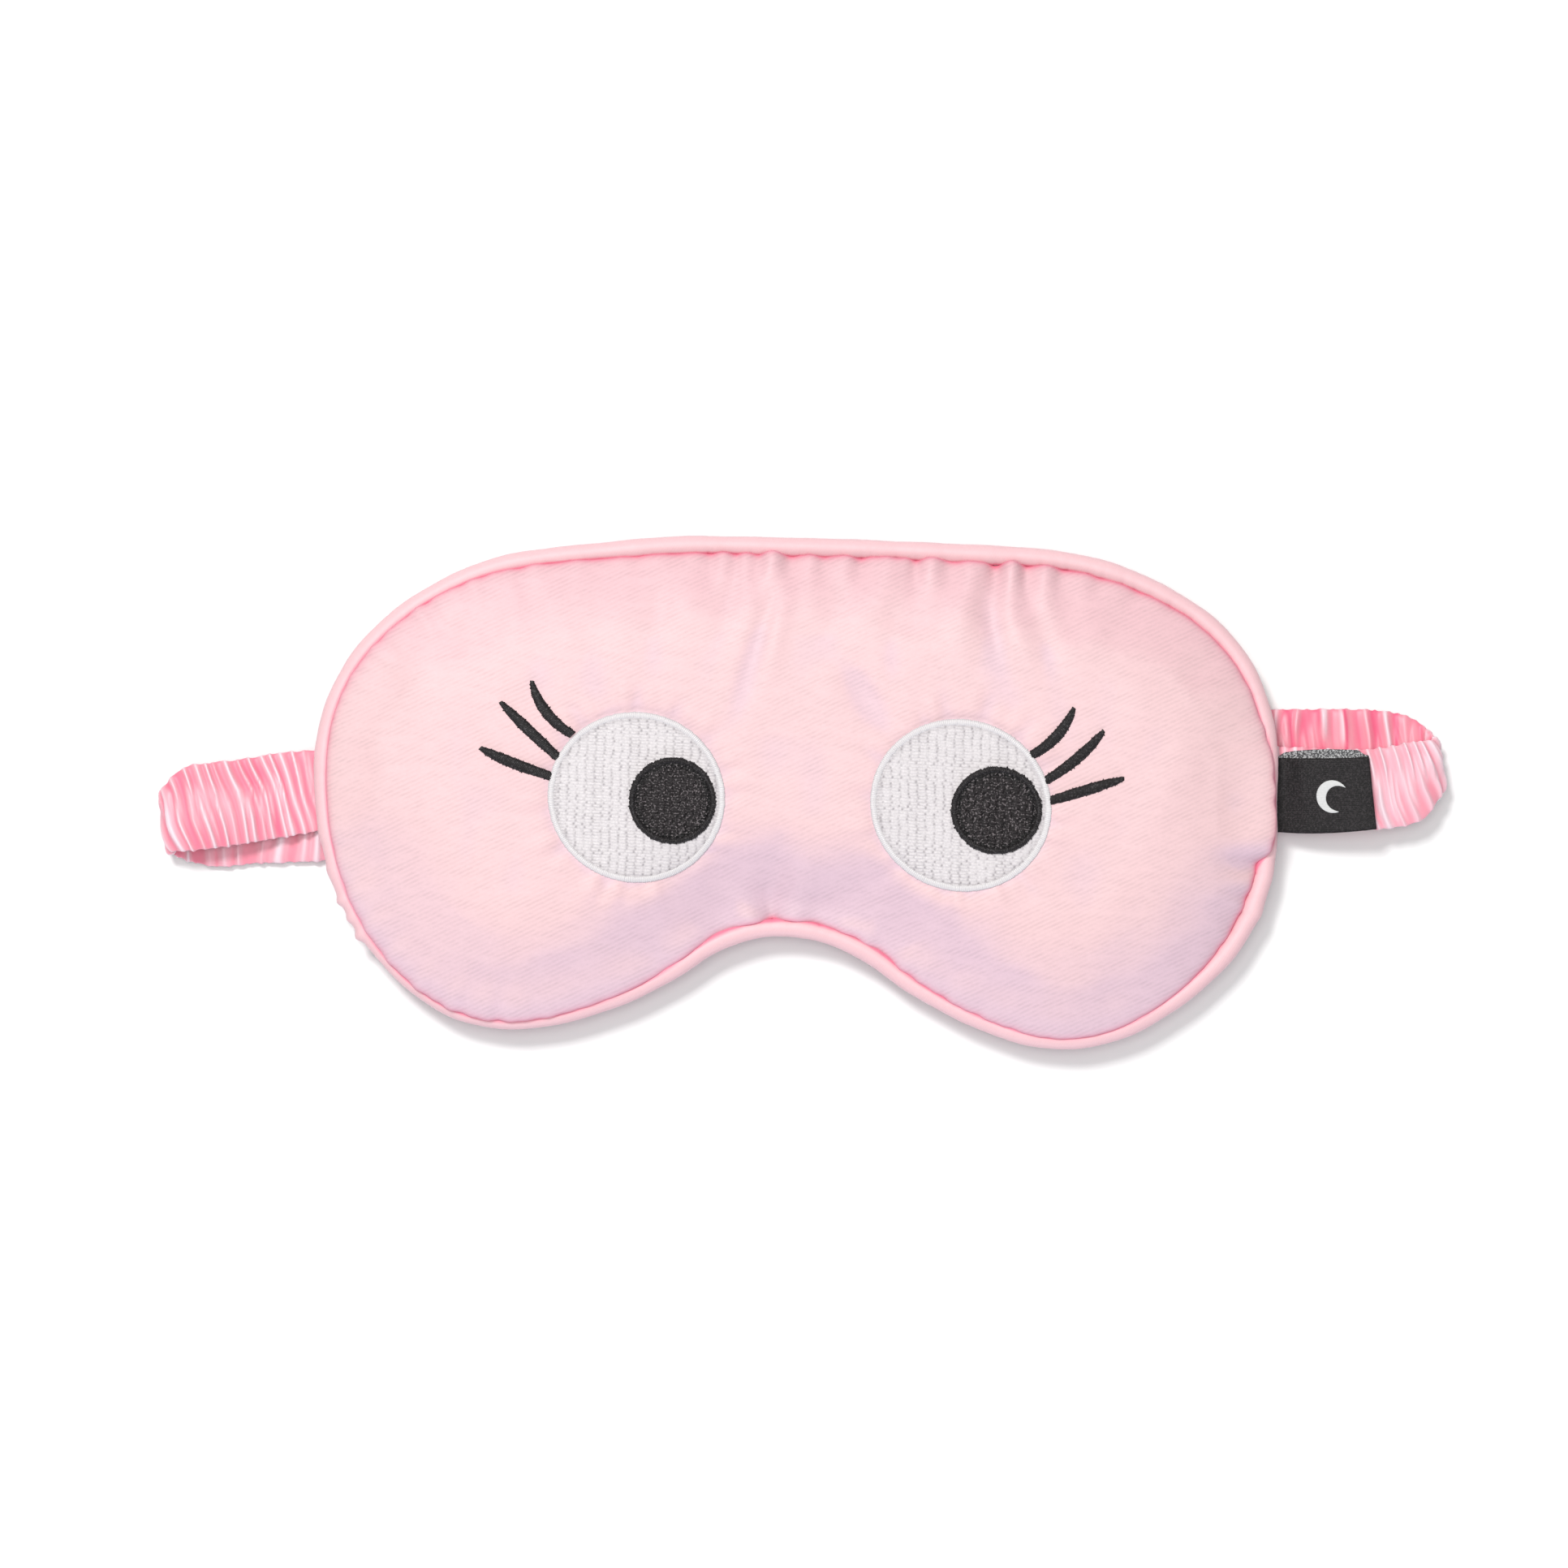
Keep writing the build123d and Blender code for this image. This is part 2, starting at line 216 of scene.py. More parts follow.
# ------------------------------------------------------------------ cloth shells
SEAM_IN = 4.0           # outline to the seam line of face and lining
BAND = 15.0             # width of the band that follows the seam
Z_SEAM_UP, Z_SEAM_DOWN = 6.75, 6.35
Z_FACE, Z_BACK = 15.55, 0.35


class Shell:
    """Quad sheet inside the seam: rings along the seam, then a patch of four sides."""

    def __init__(self, step, d_rings):
        n = N_RIM // step
        out, nor = OUT[::step], NOR[::step]
        self.n, self.rings = n, np.asarray(d_rings, float)
        a = n // 6
        b = n // 2 - a
        n1, n2 = 2 * a, b - a
        band = [out - nor * (SEAM_IN + d) for d in self.rings]
        inner = band[-1]
        idx = lambda i: np.asarray(i) % n
        top = idx(np.arange(-a, a + 1))                 # left to right
        bottom = idx(np.arange(n - b, b - 1, -1))       # left to right
        left = idx(np.arange(n - b, n - a + 1))         # bottom to top
        right = idx(np.arange(b, a - 1, -1))
        s, t = np.linspace(0, 1, n1 + 1)[:, None, None], np.linspace(0, 1, n2 + 1)[None, :, None]
        c0, c1 = inner[bottom][:, None], inner[top][:, None]
        d0, d1 = inner[left][None], inner[right][None]
        grid = (1 - t) * c0 + t * c1 + (1 - s) * d0 + s * d1 - (
            (1 - s) * (1 - t) * inner[bottom[0]] + s * (1 - t) * inner[bottom[-1]]
            + (1 - s) * t * inner[top[0]] + s * t * inner[top[-1]])
        for _ in range(60):
            grid[1:-1, 1:-1] = 0.25 * (grid[2:, 1:-1] + grid[:-2, 1:-1] + grid[1:-1, 2:] + grid[1:-1, :-2])
        self.n1, self.n2 = n1, n2
        m = len(self.rings)
        gid = np.zeros((n1 + 1, n2 + 1), int)
        gid[1:-1, 1:-1] = m * n + np.arange((n1 - 1) * (n2 - 1)).reshape(n1 - 1, n2 - 1)
        last = (m - 1) * n
        gid[:, 0], gid[:, -1] = last + bottom, last + top
        gid[0, :], gid[-1, :] = last + left, last + right
        self.gid = gid
        self.xy = np.vstack(band + [grid[1:-1, 1:-1].reshape(-1, 2)])
        r, i = np.meshgrid(np.arange(m - 1), np.arange(n), indexing="ij")
        r, i = r.ravel(), i.ravel()
        j = (i + 1) % n
        fb = np.stack([r * n + i, r * n + j, (r + 1) * n + j, (r + 1) * n + i], 1)
        fg = np.stack([gid[:-1, :-1], gid[1:, :-1], gid[1:, 1:], gid[:-1, 1:]], -1).reshape(-1, 4)
        # the outline runs clockwise, so the band quads are turned to face up like the patch
        self.faces = np.vstack([fb[:, ::-1], fg])
        seam = OUT - NOR * SEAM_IN
        tan = np.stack([NOR[:, 1], -NOR[:, 0]], 1)
        d = np.empty(len(self.xy))
        s_ = np.empty(len(self.xy))
        for k in range(0, len(self.xy), 4000):
            q = self.xy[k:k + 4000]
            dd = ((q[:, None] - seam[None]) ** 2).sum(-1)
            jn = dd.argmin(1)
            rel = q - seam[jn]
            along = np.clip((rel * tan[jn]).sum(1), -0.6, 0.6)
            d[k:k + 4000] = np.sqrt(np.maximum(dd[np.arange(len(q)), jn] - along**2, 0))
            s_[k:k + 4000] = S_RIM[jn] + along
        for q, dv in enumerate(self.rings):
            d[q * n:(q + 1) * n] = dv
            s_[q * n:(q + 1) * n] = S_RIM[::step]
        self.d, self.s = d, s_ % RIM_LEN


def cubic_along(a, x, periodic):
    i = np.floor(x).astype(int)
    t = (x - i).reshape((-1,) + (1,) * (a.ndim - 1))
    n = len(a)
    g = (lambda k: a[k % n]) if periodic else (lambda k: a[np.clip(k, 0, n - 1)])
    p0, p1, p2, p3 = g(i - 1), g(i), g(i + 1), g(i + 2)
    return 0.5 * (2 * p1 + (p2 - p0) * t + (2 * p0 - 5 * p1 + 4 * p2 - p3) * t**2 + (3 * p1 - p0 - 3 * p2 + p3) * t**3)


def upsample(coarse, fine, disp):
    """Carries a displacement from a coarse shell to a fine one."""
    n, m = coarse.n, len(coarse.rings)
    band = disp[: m * n].reshape(m, n, -1)
    ring_pos = np.interp(fine.rings, coarse.rings, np.arange(m))
    band = cubic_along(band, ring_pos, False)
    band = cubic_along(band.transpose(1, 0, 2), np.arange(fine.n) * n / fine.n, True).transpose(1, 0, 2)
    grid = disp[coarse.gid]
    grid = cubic_along(grid, np.linspace(0, coarse.n1, fine.n1 + 1), False)
    grid = cubic_along(grid.transpose(1, 0, 2), np.linspace(0, coarse.n2, fine.n2 + 1), False).transpose(1, 0, 2)
    out = np.zeros((len(fine.xy), disp.shape[1]))
    out[fine.gid.ravel()] = grid.reshape(-1, disp.shape[1])
    out[: len(fine.rings) * fine.n] = band.reshape(-1, disp.shape[1])
    return out


def pillow_rise(d, width, power):
    t = np.clip(d / width, 0, 1)
    return (1 - (1 - t) ** power) ** (1 / power)


def crown(xy):
    x, y = xy[:, 0], xy[:, 1]
    return 0.55 * gauss(x - 52, 42) * gauss(y + 2, 34) + 0.55 * gauss(x + 52, 42) * gauss(y + 2, 34)


STRAP_SLOPE, STRAP_Y0 = 0.1015, 0.65


def strap_bed(xy):
    """How far the lining is pressed up by the strap that lies under it."""
    off = np.abs((xy[:, 1] - STRAP_Y0 - STRAP_SLOPE * xy[:, 0]) / math.hypot(1, STRAP_SLOPE))
    return 3.75 * smooth01((16.6 - off) / 6.9)


# eyes: centre x, centre y, pupil centre x, y, in the frame, on the face
EYES = {"left": (-33.25, -2.85, -25.83, -3.35), "right": (33.3, -2.75, 40.6, -3.6)}
EYE_R, PUPIL_R = 18.1, 8.95
LASHES = {
    "left": [((-55.3, 20.5), (-52.2, 14.2), (-46.6, 9.6)),
             ((-61.6, 16.0), (-55.9, 10.6), (-49.4, 4.8)),
             ((-65.5, 6.5), (-59.2, 3.7), (-50.4, 0.85))],
    "right": [((56.0, 17.85), (52.6, 12.0), (47.0, 7.6)),
              ((62.2, 13.3), (57.2, 7.8), (50.3, 2.6)),
              ((66.6, 3.6), (59.1, 1.1), (51.1, -1.45))]}


def eye_distance(x, y):
    out = np.full(np.shape(x), 1e9)
    for cx, cy, _, _ in EYES.values():
        out = np.minimum(out, np.hypot(x - cx, y - cy) - EYE_R)
    return out


def inflate():
    """Cloth simulation of the stuffed body on a coarse sheet pair: displacement of face and back."""
    coarse = Shell(3, [0, 0.7, 1.9, 3.6, 5.4, 7.3, 9.2, 11.1, 13.0, BAND])
    rise = pillow_rise(coarse.d, 19, 2.05)
    zf = Z_SEAM_UP + (Z_FACE - 0.9 - Z_SEAM_UP) * rise
    zb = Z_SEAM_DOWN - (Z_SEAM_DOWN - Z_BACK) * pillow_rise(coarse.d, 14, 2.2)
    zb = np.maximum(zb, Z_BACK + strap_bed(coarse.xy) * smooth01(coarse.d / 6))
    n = coarse.n
    nv = len(coarse.xy)
    # face and back share the seam ring
    seam = np.arange(nv) < n
    front = np.column_stack([coarse.xy, np.where(seam, 6.55, zf)])
    back = np.column_stack([coarse.xy, zb])[n:]
    back_id = np.where(seam, np.arange(nv), np.arange(nv) - n + nv)
    faces = np.vstack([coarse.faces, back_id[coarse.faces][:, ::-1]])
    verts = np.vstack([front, back])
    # simulated at ten times its size, where the solver's own scale suits the cloth
    ob = mesh_object("sim_body", verts * 10, faces)
    pin = ob.vertex_groups.new(name="pin")
    hold = np.concatenate([np.arange(n)])
    pin.add([int(i) for i in hold], 1.0, "REPLACE")
    mod = ob.modifiers.new("cloth", "CLOTH")
    st = mod.settings
    st.quality = 6
    st.mass = 0.3
    st.use_pressure = True
    st.uniform_pressure_force = 4.0
    st.tension_stiffness = st.compression_stiffness = 15
    st.shear_stiffness = 8
    st.bending_stiffness = 0.4
    st.shrink_min = -0.035
    st.vertex_group_mass = "pin"
    st.effector_weights.gravity = 0
    mod.collision_settings.use_collision = False
    mod.collision_settings.use_self_collision = False
    mod.point_cache.frame_start, mod.point_cache.frame_end = 1, 20
    for f in range(1, 21):
        sc.frame_set(f)
    got = ob.evaluated_get(bpy.context.evaluated_depsgraph_get()).data
    co = np.empty(len(got.vertices) * 3)
    got.vertices.foreach_get("co", co)
    co = co.reshape(-1, 3) * 100.0
    sc.frame_set(1)
    bpy.data.objects.remove(ob)
    move = co - verts
    raw = np.linalg.norm(move, axis=1)
    print("sim move mm: mean", raw.mean().round(2), "max", raw.max().round(2))
    e = np.vstack([faces[:, [k, (k + 1) % 4]] for k in range(4)])
    count = np.zeros(len(verts))
    np.add.at(count, e[:, 0], 1)
    np.add.at(count, e[:, 1], 1)
    for _ in range(7):
        mean = np.zeros_like(move)
        np.add.at(mean, e[:, 0], move[e[:, 1]])
        np.add.at(mean, e[:, 1], move[e[:, 0]])
        move = 0.4 * move + 0.6 * mean / count[:, None]
    raw = np.linalg.norm(move, axis=1)
    cap = 2.6
    move *= np.minimum(1, cap / np.maximum(raw, 1e-9))[:, None]
    front_move = move[:nv]
    back_move = move[back_id]
    return coarse, front_move, back_move, verts, faces


RINGS = np.concatenate([[0, 0.06, 0.16, 0.3, 0.5, 0.75, 1.05, 1.4, 1.8, 2.25, 2.7], np.arange(3.2, BAND + 0.01, 0.59)])
RINGS[-1] = BAND
fine = Shell(1, RINGS)

# where the edge of the padded face stands over the piping: visible width of the piping, by place
visible = spline_keys([(0.0, 4.15), (0.05, 4.25), (0.1, 4.15), (0.15, 3.85), (0.19, 3.5), (0.215, 2.9), (0.228, 1.7),
                       (0.24, 0.95), (0.254, 0.85), (0.263, 1.6), (0.271, 3.7), (0.285, 4.3), (0.31, 4.1),
                       (0.34, 3.1), (0.38, 2.6), (0.43, 2.9), (0.47, 3.5), (0.5, 3.7), (0.53, 3.3), (0.58, 2.5),
                       (0.62, 2.05), (0.66, 1.8), (0.70, 2.2), (0.73, 2.7), (0.76, 3.0), (0.8, 2.9), (0.86, 3.15), (0.93, 3.8)], 1.0)

# puckers of the face into its seam: s along the outline, depth, width, length, slant
PUCKERS = []
for x, depth, width, length in [(-60.0, 0.35, 2.2, 6), (-52.0, 0.3, 2.4, 7), (-43.0, 0.4, 2.6, 9), (-34.5, 0.35, 2.5, 8), (-27.0, 0.35, 2.2, 7),
                                (-19.7, 0.8, 1.9, 9), (-14.4, 0.9, 1.8, 8), (-9.6, 0.95, 1.5, 7), (-2.8, 0.9, 2.2, 11),
                                (4.2, 0.55, 1.9, 7), (11.8, 0.6, 2.0, 8), (23.2, 1.0, 1.6, 8), (29.7, 0.8, 1.9, 9), (39.4, 1.3, 1.7, 13),
                                (45.9, 1.2, 1.6, 10), (53.5, 0.5, 2.0, 8), (61.0, 0.4, 2.2, 7), (68.5, 0.4, 2.2, 6)]:
    PUCKERS.append((s_at(x, 52 - (x / 70) ** 2 * 10), depth, width, length, 0.0))
for x, depth, width, length, slant in [(-4.2, 1.5, 1.6, 10, 0.12), (4.0, 0.5, 2.4, 9, -0.2), (-14.5, 0.7, 3.4, 15, -0.35), (17.5, 0.6, 3.4, 13, 0.3), (-25, 0.3, 3.0, 9, -0.1), (28, 0.3, 3.0, 9, 0.1)]:
    PUCKERS.append((s_at(x, -31.5 - abs(x) ** 1.9 / 60), depth, width, length, slant))
PUCKERS.append((s_at(97.5, -13.5), 0.8, 1.8, 6, 0.25))
for s0 in np.arange(0, RIM_LEN, 7.9):
    PUCKERS.append((s0 + rng.uniform(-2.6, 2.6), rng.uniform(0.04, 0.18), rng.uniform(1.3, 2.2), rng.uniform(2.5, 5.5), rng.normal(0, 0.2)))

# swellings of the face between the puckers, which stand over the seam line
SWELLS = [(s_at(x, 51), a, w) for x, a, w in [(-17.2, 0.35, 1.9), (-12.6, 0.35, 1.7), (-6.4, 0.95, 2.6), (0.6, 0.3, 2.2), (7.4, 0.3, 3.0),
                                              (17.5, 0.45, 4.5), (26.6, 0.95, 2.5), (34.4, 0.4, 3.4), (42.9, 0.75, 2.4), (50.0, 0.35, 2.8)]]


def front_surface(shell):
    x, y = shell.xy[:, 0], shell.xy[:, 1]
    d, s = shell.d, shell.s
    reach = 20.0 + 3.5 * smooth01((10 - y) / 35)
    z = Z_SEAM_UP + (Z_FACE - Z_SEAM_UP) * pillow_rise(d, reach, 2.0) + crown(shell.xy) * smooth01(d / 25)
    i = np.interp(s, np.append(S_RIM, RIM_LEN), np.arange(N_RIM + 1))
    i0 = np.floor(i).astype(int) % N_RIM
    t = (i - np.floor(i))[:, None]
    nor = NOR[i0] * (1 - t) + NOR[(i0 + 1) % N_RIM] * t
    over = SEAM_IN + 1.5 - visible(s / RIM_LEN)
    scallop = (0.07 * np.sin(2 * math.pi * s / 7.3 + 2 * np.sin(s / 23.0)) + 0.05 * np.sin(2 * math.pi * s / 4.3 + 3 * np.sin(s / 31.0))) * (1 + np.sin(s / 17.0))
    for s0, a, w in SWELLS:
        scallop += a * gauss(wrap(s - s0), w)
    for s0, depth, w, length, slant in PUCKERS:
        scallop -= 0.45 * depth * gauss(wrap(s - s0), w * 0.8)
    over = over + scallop
    lobe = np.where(d < 12, (d / 1.5) * np.exp(1 - d / 1.5), 0)
    xy = shell.xy + nor * (over * lobe)[:, None]
    z = z + np.clip(0.62 * (over - 1.2), -0.2, 2.0) * lobe
    # puckers sink, the cloth between them swells a little
    live = 1 - np.exp(-d / 0.7)
    dz = np.zeros_like(d)
    for s0, depth, w, length, slant in PUCKERS:
        ds = wrap(s - s0 - slant * d)
        grow = 1 + d / length * 0.9
        fall = np.exp(-((d / length) ** 1.4))
        dz -= depth * gauss(ds, w * grow) * fall
        dz += depth * 0.38 * (gauss(ds - 2.1 * w * grow, w * grow) + gauss(ds + 2.1 * w * grow, w * grow)) * fall
    for s0, a, w in SWELLS:
        dz += 0.75 * a * gauss(wrap(s - s0), w * (1 + d / 14)) * np.exp(-((d / 9.0) ** 1.3))
    z = z + dz * live
    # it sinks towards the notch
    z = z - (1.9 * gauss(x + 1.5, 22) * gauss(y + 30, 16) + 0.8 * gauss(x + 1.5, 8) * gauss(y + 27, 12)) * smooth01(d / 5)
    # long soft folds and small unevenness of the stuffing
    e = eye_distance(x, y)
    calm = smooth01((e + 1.0) / 6.0) * smooth01(d / 8)
    z = z + calm * (0.20 * ripples(x, y, 9, 22, 55, 3) + 0.055 * ripples(x, y, 10, 8, 16, 5))
    # soft folds below the brow and over the nose
    for fx, fy, ang, a, w, l in [(-9.2, 30, 1.30, -0.55, 2.0, 13), (-5.0, 33, 1.38, 0.5, 2.3, 13), (-15.5, 37, 1.45, -0.4, 2.6, 9), (7.0, 39, 1.5, -0.35, 4.2, 9),
                                 (38.0, 37, 1.85, -0.6, 2.3, 10), (42.8, 35, 1.95, 0.32, 2.6, 12), (48.5, 35, 1.9, -0.45, 2.6, 10), (32, 38, 1.7, 0.35, 2.8, 9), (12.8, 19.5, 2.25, -0.5, 3.0, 8), (-4.3, -20, 1.5, -0.55, 2.8, 11),
                                 (18.5, 29, 1.62, -0.22, 2.2, 14), (-43, 33, 1.3, -0.28, 3.5, 11), (-30, 35, 1.5, -0.22, 3.0, 9), (1.5, -22, 1.75, 0.35, 3.0, 9),
                                 (-15, -19, 2.3, -0.5, 4.0, 12), (15, -19, 0.9, -0.45, 4.0, 11), (17, 8, 1.9, -0.18, 4, 11),
                                 (-47, -23, 0.75, -0.2, 4, 11), (71, -6, 1.3, 0.18, 5, 15), (84, 20, 2.4, 0.22, 4, 13), (-78, 14, 1.9, 0.18, 5, 14)]:
        ca, sa = math.cos(ang), math.sin(ang)
        along, across = (x - fx) * ca + (y - fy) * sa, -(x - fx) * sa + (y - fy) * ca
        z = z + a * gauss(across, w) * gauss(along, l) * calm
    # the stitching draws the cloth in round each eye and lash
    z = z - 0.50 * np.exp(-np.maximum(e, 0) / 1.5) * (e > -30) * smooth01(d / 8)
    pull = np.zeros_like(x)
    for cx, cy, _, _ in EYES.values():
        a = np.arctan2(y - cy, x - cx)
        rr = np.hypot(x - cx, y - cy) - EYE_R
        wave = np.sin(a * 17 + 1.5 * np.sin(a * 3) + cx) + 0.6 * np.sin(a * 29 + cx * 2)
        pull += 0.13 * wave * np.exp(-((rr - 1.8) / 3.4) ** 2)
    z = z + pull
    return np.column_stack([xy, z])


def back_surface(shell):
    x, y = shell.xy[:, 0], shell.xy[:, 1]
    d, s = shell.d, shell.s
    z = Z_SEAM_DOWN - (Z_SEAM_DOWN - Z_BACK) * pillow_rise(d, 13.5, 2.1)
    live = 1 - np.exp(-d / 0.7)
    for k, (s0, depth, w, length, slant) in enumerate(PUCKERS):
        ds = wrap(s - s0 - 1.7 - slant * d)
        z = z + 0.5 * depth * gauss(ds, w * (1 + d / length)) * np.exp(-((d / length) ** 1.4)) * live
    z = z + smooth01(d / 9) * (0.14 + 0.12 * ripples(x, y, 9, 18, 50, 21) + 0.04 * ripples(x, y, 9, 7, 13, 22))
    bed = Z_BACK + strap_bed(shell.xy) + 0.12 * ripples(x, y, 8, 6, 16, 27)
    z = np.maximum(z, np.where(strap_bed(shell.xy) > 0.02, np.minimum(bed, Z_SEAM_DOWN - 0.5), z))
    z = np.maximum(z, 0.22)
    i0 = np.floor(s / RIM_LEN * N_RIM).astype(int) % N_RIM
    lobe = np.where(d < 12, (d / 1.6) * np.exp(1 - d / 1.6), 0)
    over = 1.5 + 0.15 * np.sin(2 * math.pi * s / 7.1 + 2 * np.sin(s / 19.0))
    xy = shell.xy + NOR[i0] * (over * lobe)[:, None]
    return np.column_stack([xy, z])


def without_profile(shell, move):
    """A displacement less its own smooth mean by distance from the rim, so the stuffing profile stays as it is."""
    nd, ns = 26, 36
    u = np.clip(shell.d / 36.0, 0, 1) * (nd - 1)
    v = shell.s / RIM_LEN * ns
    a, b = np.floor(u).astype(int), np.floor(v).astype(int)
    fu, fv = u - a, v - b
    cells = [(np.minimum(a + i, nd - 1), (b + j) % ns, (fu if i else 1 - fu) * (fv if j else 1 - fv)) for i in (0, 1) for j in (0, 1)]
    total, weight = np.zeros((nd, ns)), np.zeros((nd, ns))
    for i, j, w in cells:
        np.add.at(total, (i, j), w * move)
        np.add.at(weight, (i, j), w)
    for _ in range(3):
        total = 0.25 * np.roll(total, 1, 1) + 0.5 * total + 0.25 * np.roll(total, -1, 1)
        weight = 0.25 * np.roll(weight, 1, 1) + 0.5 * weight + 0.25 * np.roll(weight, -1, 1)
    mean = total / np.maximum(weight, 1e-6)
    return move - sum(w * mean[i, j] for i, j, w in cells)


front = front_surface(fine)
back = back_surface(fine)
coarse, front_move, back_move, _, _ = inflate()
fade = smooth01(fine.d / 7.0)[:, None]
near = smooth01((eye_distance(fine.xy[:, 0], fine.xy[:, 1]) + 3) / 10)[:, None]
fm = upsample(coarse, fine, front_move)
fm[:, 2] = without_profile(fine, fm[:, 2])
front += np.clip(fm, -0.9, 0.9) * fade * (0.25 + 0.75 * near) * [0.15, 0.15, 0.75]
bm = upsample(coarse, fine, back_move)
bm[:, 2] = without_profile(fine, bm[:, 2])
free = (1 - smooth01(strap_bed(fine.xy) / 0.5))[:, None]
back += np.clip(bm, -1.0, 1.0) * fade * free * [0.2, 0.2, 0.3]
back[:, 2] = np.maximum(back[:, 2], 0.22)


# ------------------------------------------------------------------ materials
def material(name):
    m = bpy.data.materials.new(name)
    m.use_nodes = True
    nt = m.node_tree
    return m, nt, nt.nodes["Principled BSDF"]


def node(nt, kind, **values):
    n = nt.nodes.new(kind)
    for k, v in values.items():
        if k in n.inputs:
            n.inputs[k].default_value = v
        else:
            setattr(n, k, v)
    return n


def math_node(nt, op, a, b=None, clamp=False):
    n = nt.nodes.new("ShaderNodeMath")
    n.operation = op
    n.use_clamp = clamp
    for k, v in ((0, a), (1, b)):
        if v is None:
            continue
        if isinstance(v, (int, float)):
            n.inputs[k].default_value = v
        else:
            nt.links.new(v, n.inputs[k])
    return n.outputs[0]


def mix_color(nt, factor, a, b, blend="MIX"):
    n = nt.nodes.new("ShaderNodeMix")
    n.data_type = "RGBA"
    n.blend_type = blend
    for sock, v in ((n.inputs[0], factor), (n.inputs[6], a), (n.inputs[7], b)):
        if hasattr(v, "default_value") or hasattr(v, "links"):
            nt.links.new(v, sock)
        else:
            sock.default_value = v if isinstance(v, (int, float)) else (*v, 1.0)
    return n.outputs[2]


def coords(nt, rotation=(0, 0, 0), scale=(1, 1, 1)):
    tc = nt.nodes.new("ShaderNodeTexCoord")
    mp = node(nt, "ShaderNodeMapping")
    mp.inputs["Rotation"].default_value = rotation
    mp.inputs["Scale"].default_value = scale
    nt.links.new(tc.outputs["Object"], mp.inputs["Vector"])
    return mp.outputs["Vector"]


def attribute(nt, key):
    a = nt.nodes.new("ShaderNodeAttribute")
    a.attribute_name = key
    return a.outputs["Fac"]


def satin(name, color, crease_shade, twill=0.0, twill_angle=27, twill_mm=0.85, rough=0.42, sheen=0.25, slub=0.02, fold_shading=None, bump=0.25, middle=None, slope_shade=False):
    """Woven satin: base colour with faint slubs, fine yarn bump, optional twill line, a stronger colour painted as
    shade where folded in. With a middle colour the fold mask runs from the base colour as painted highlight through
    middle to the shade colour; the slope option adds painted shade by slope.
    """
    m, nt, p = material(name)
    L = nt.links
    vec = coords(nt)
    noise = node(nt, "ShaderNodeTexNoise", Scale=95.0, Detail=3.0, Roughness=0.55)
    L.new(vec, noise.inputs["Vector"])
    grain = node(nt, "ShaderNodeTexNoise", Scale=1500.0, Detail=2.0, Roughness=0.6)
    L.new(vec, grain.inputs["Vector"])
    c = mix_color(nt, math_node(nt, "MULTIPLY", noise.outputs["Fac"], 0.35), color, tuple(v * (1 - slub * 3) for v in color))
    bright = math_node(nt, "ADD", math_node(nt, "MULTIPLY", grain.outputs["Fac"], 2 * slub * 2), 1 - slub * 2)
    height = math_node(nt, "MULTIPLY", grain.outputs["Fac"], 0.4)
    if twill:
        tv = coords(nt, rotation=(0, 0, math.radians(90 - twill_angle)))
        wob = node(nt, "ShaderNodeTexWave", wave_type="BANDS", bands_direction="X", Scale=2 * math.pi / (20 * twill_mm * 0.001),
                   Distortion=1.8, Detail=2.0)
        wob.inputs["Detail Scale"].default_value = 0.35
        L.new(tv, wob.inputs["Vector"])
        patch = node(nt, "ShaderNodeTexNoise", Scale=420.0, Detail=2.0, Roughness=0.6)
        L.new(coords(nt, rotation=(0, 0, math.radians(-twill_angle)), scale=(0.55, 1.6, 1.0)), patch.inputs["Vector"])
        broken = math_node(nt, "MULTIPLY", math_node(nt, "SUBTRACT", patch.outputs["Fac"], 0.30), 2.6, clamp=True)
        line = math_node(nt, "MULTIPLY", math_node(nt, "MULTIPLY", wob.outputs["Fac"], broken), twill)
        bright = math_node(nt, "SUBTRACT", math_node(nt, "ADD", bright, twill * 0.28), line)
        height = math_node(nt, "SUBTRACT", height, math_node(nt, "MULTIPLY", wob.outputs["Fac"], 0.55))
    # painted light on pleats: base colour as pale highlight at 0, middle the cloth's own tone at 0.5, the shade colour
    # at 1
    if middle:
        f = attribute(nt, fold_shading)
        c = mix_color(nt, math_node(nt, "MULTIPLY", f, 2.0, clamp=True), c, middle)
        c = mix_color(nt, math_node(nt, "MULTIPLY", math_node(nt, "SUBTRACT", f, 0.5), 2.0, clamp=True), c, crease_shade)
    # painted shade by slope and in hollows, from the mesh's lavender and rosier masks
    if slope_shade:
        c = mix_color(nt, attribute(nt, "lilac_shade"), c, tuple(a * b for a, b in zip(color, (0.885, 0.93, 1.04))))
        c = mix_color(nt, attribute(nt, "rose_shade"), c, tuple(a * b for a, b in zip(color, (0.965, 0.89, 0.935))))
    c = scale_color(nt, c, bright)
    # painted shade: the crease colour where the cloth folds in
    if fold_shading and not middle:
        c = mix_color(nt, attribute(nt, fold_shading), c, crease_shade)
    L.new(c, p.inputs["Base Color"])
    b = node(nt, "ShaderNodeBump", Strength=bump, Distance=0.00006)
    L.new(height, b.inputs["Height"])
    L.new(b.outputs["Normal"], p.inputs["Normal"])
    p.inputs["Roughness"].default_value = rough
    p.inputs["Specular IOR Level"].default_value = 0.4
    p.inputs["Sheen Weight"].default_value = sheen
    p.inputs["Sheen Roughness"].default_value = 0.38
    p.inputs["Sheen Tint"].default_value = (0.93, 0.86, 1.0, 1.0)
    m.diffuse_color = (*color, 1)
    return m


def scale_color(nt, c, f):
    n = nt.nodes.new("ShaderNodeVectorMath")
    n.operation = "SCALE"
    nt.links.new(c, n.inputs[0])
    nt.links.new(f, n.inputs["Scale"])
    return n.outputs[0]


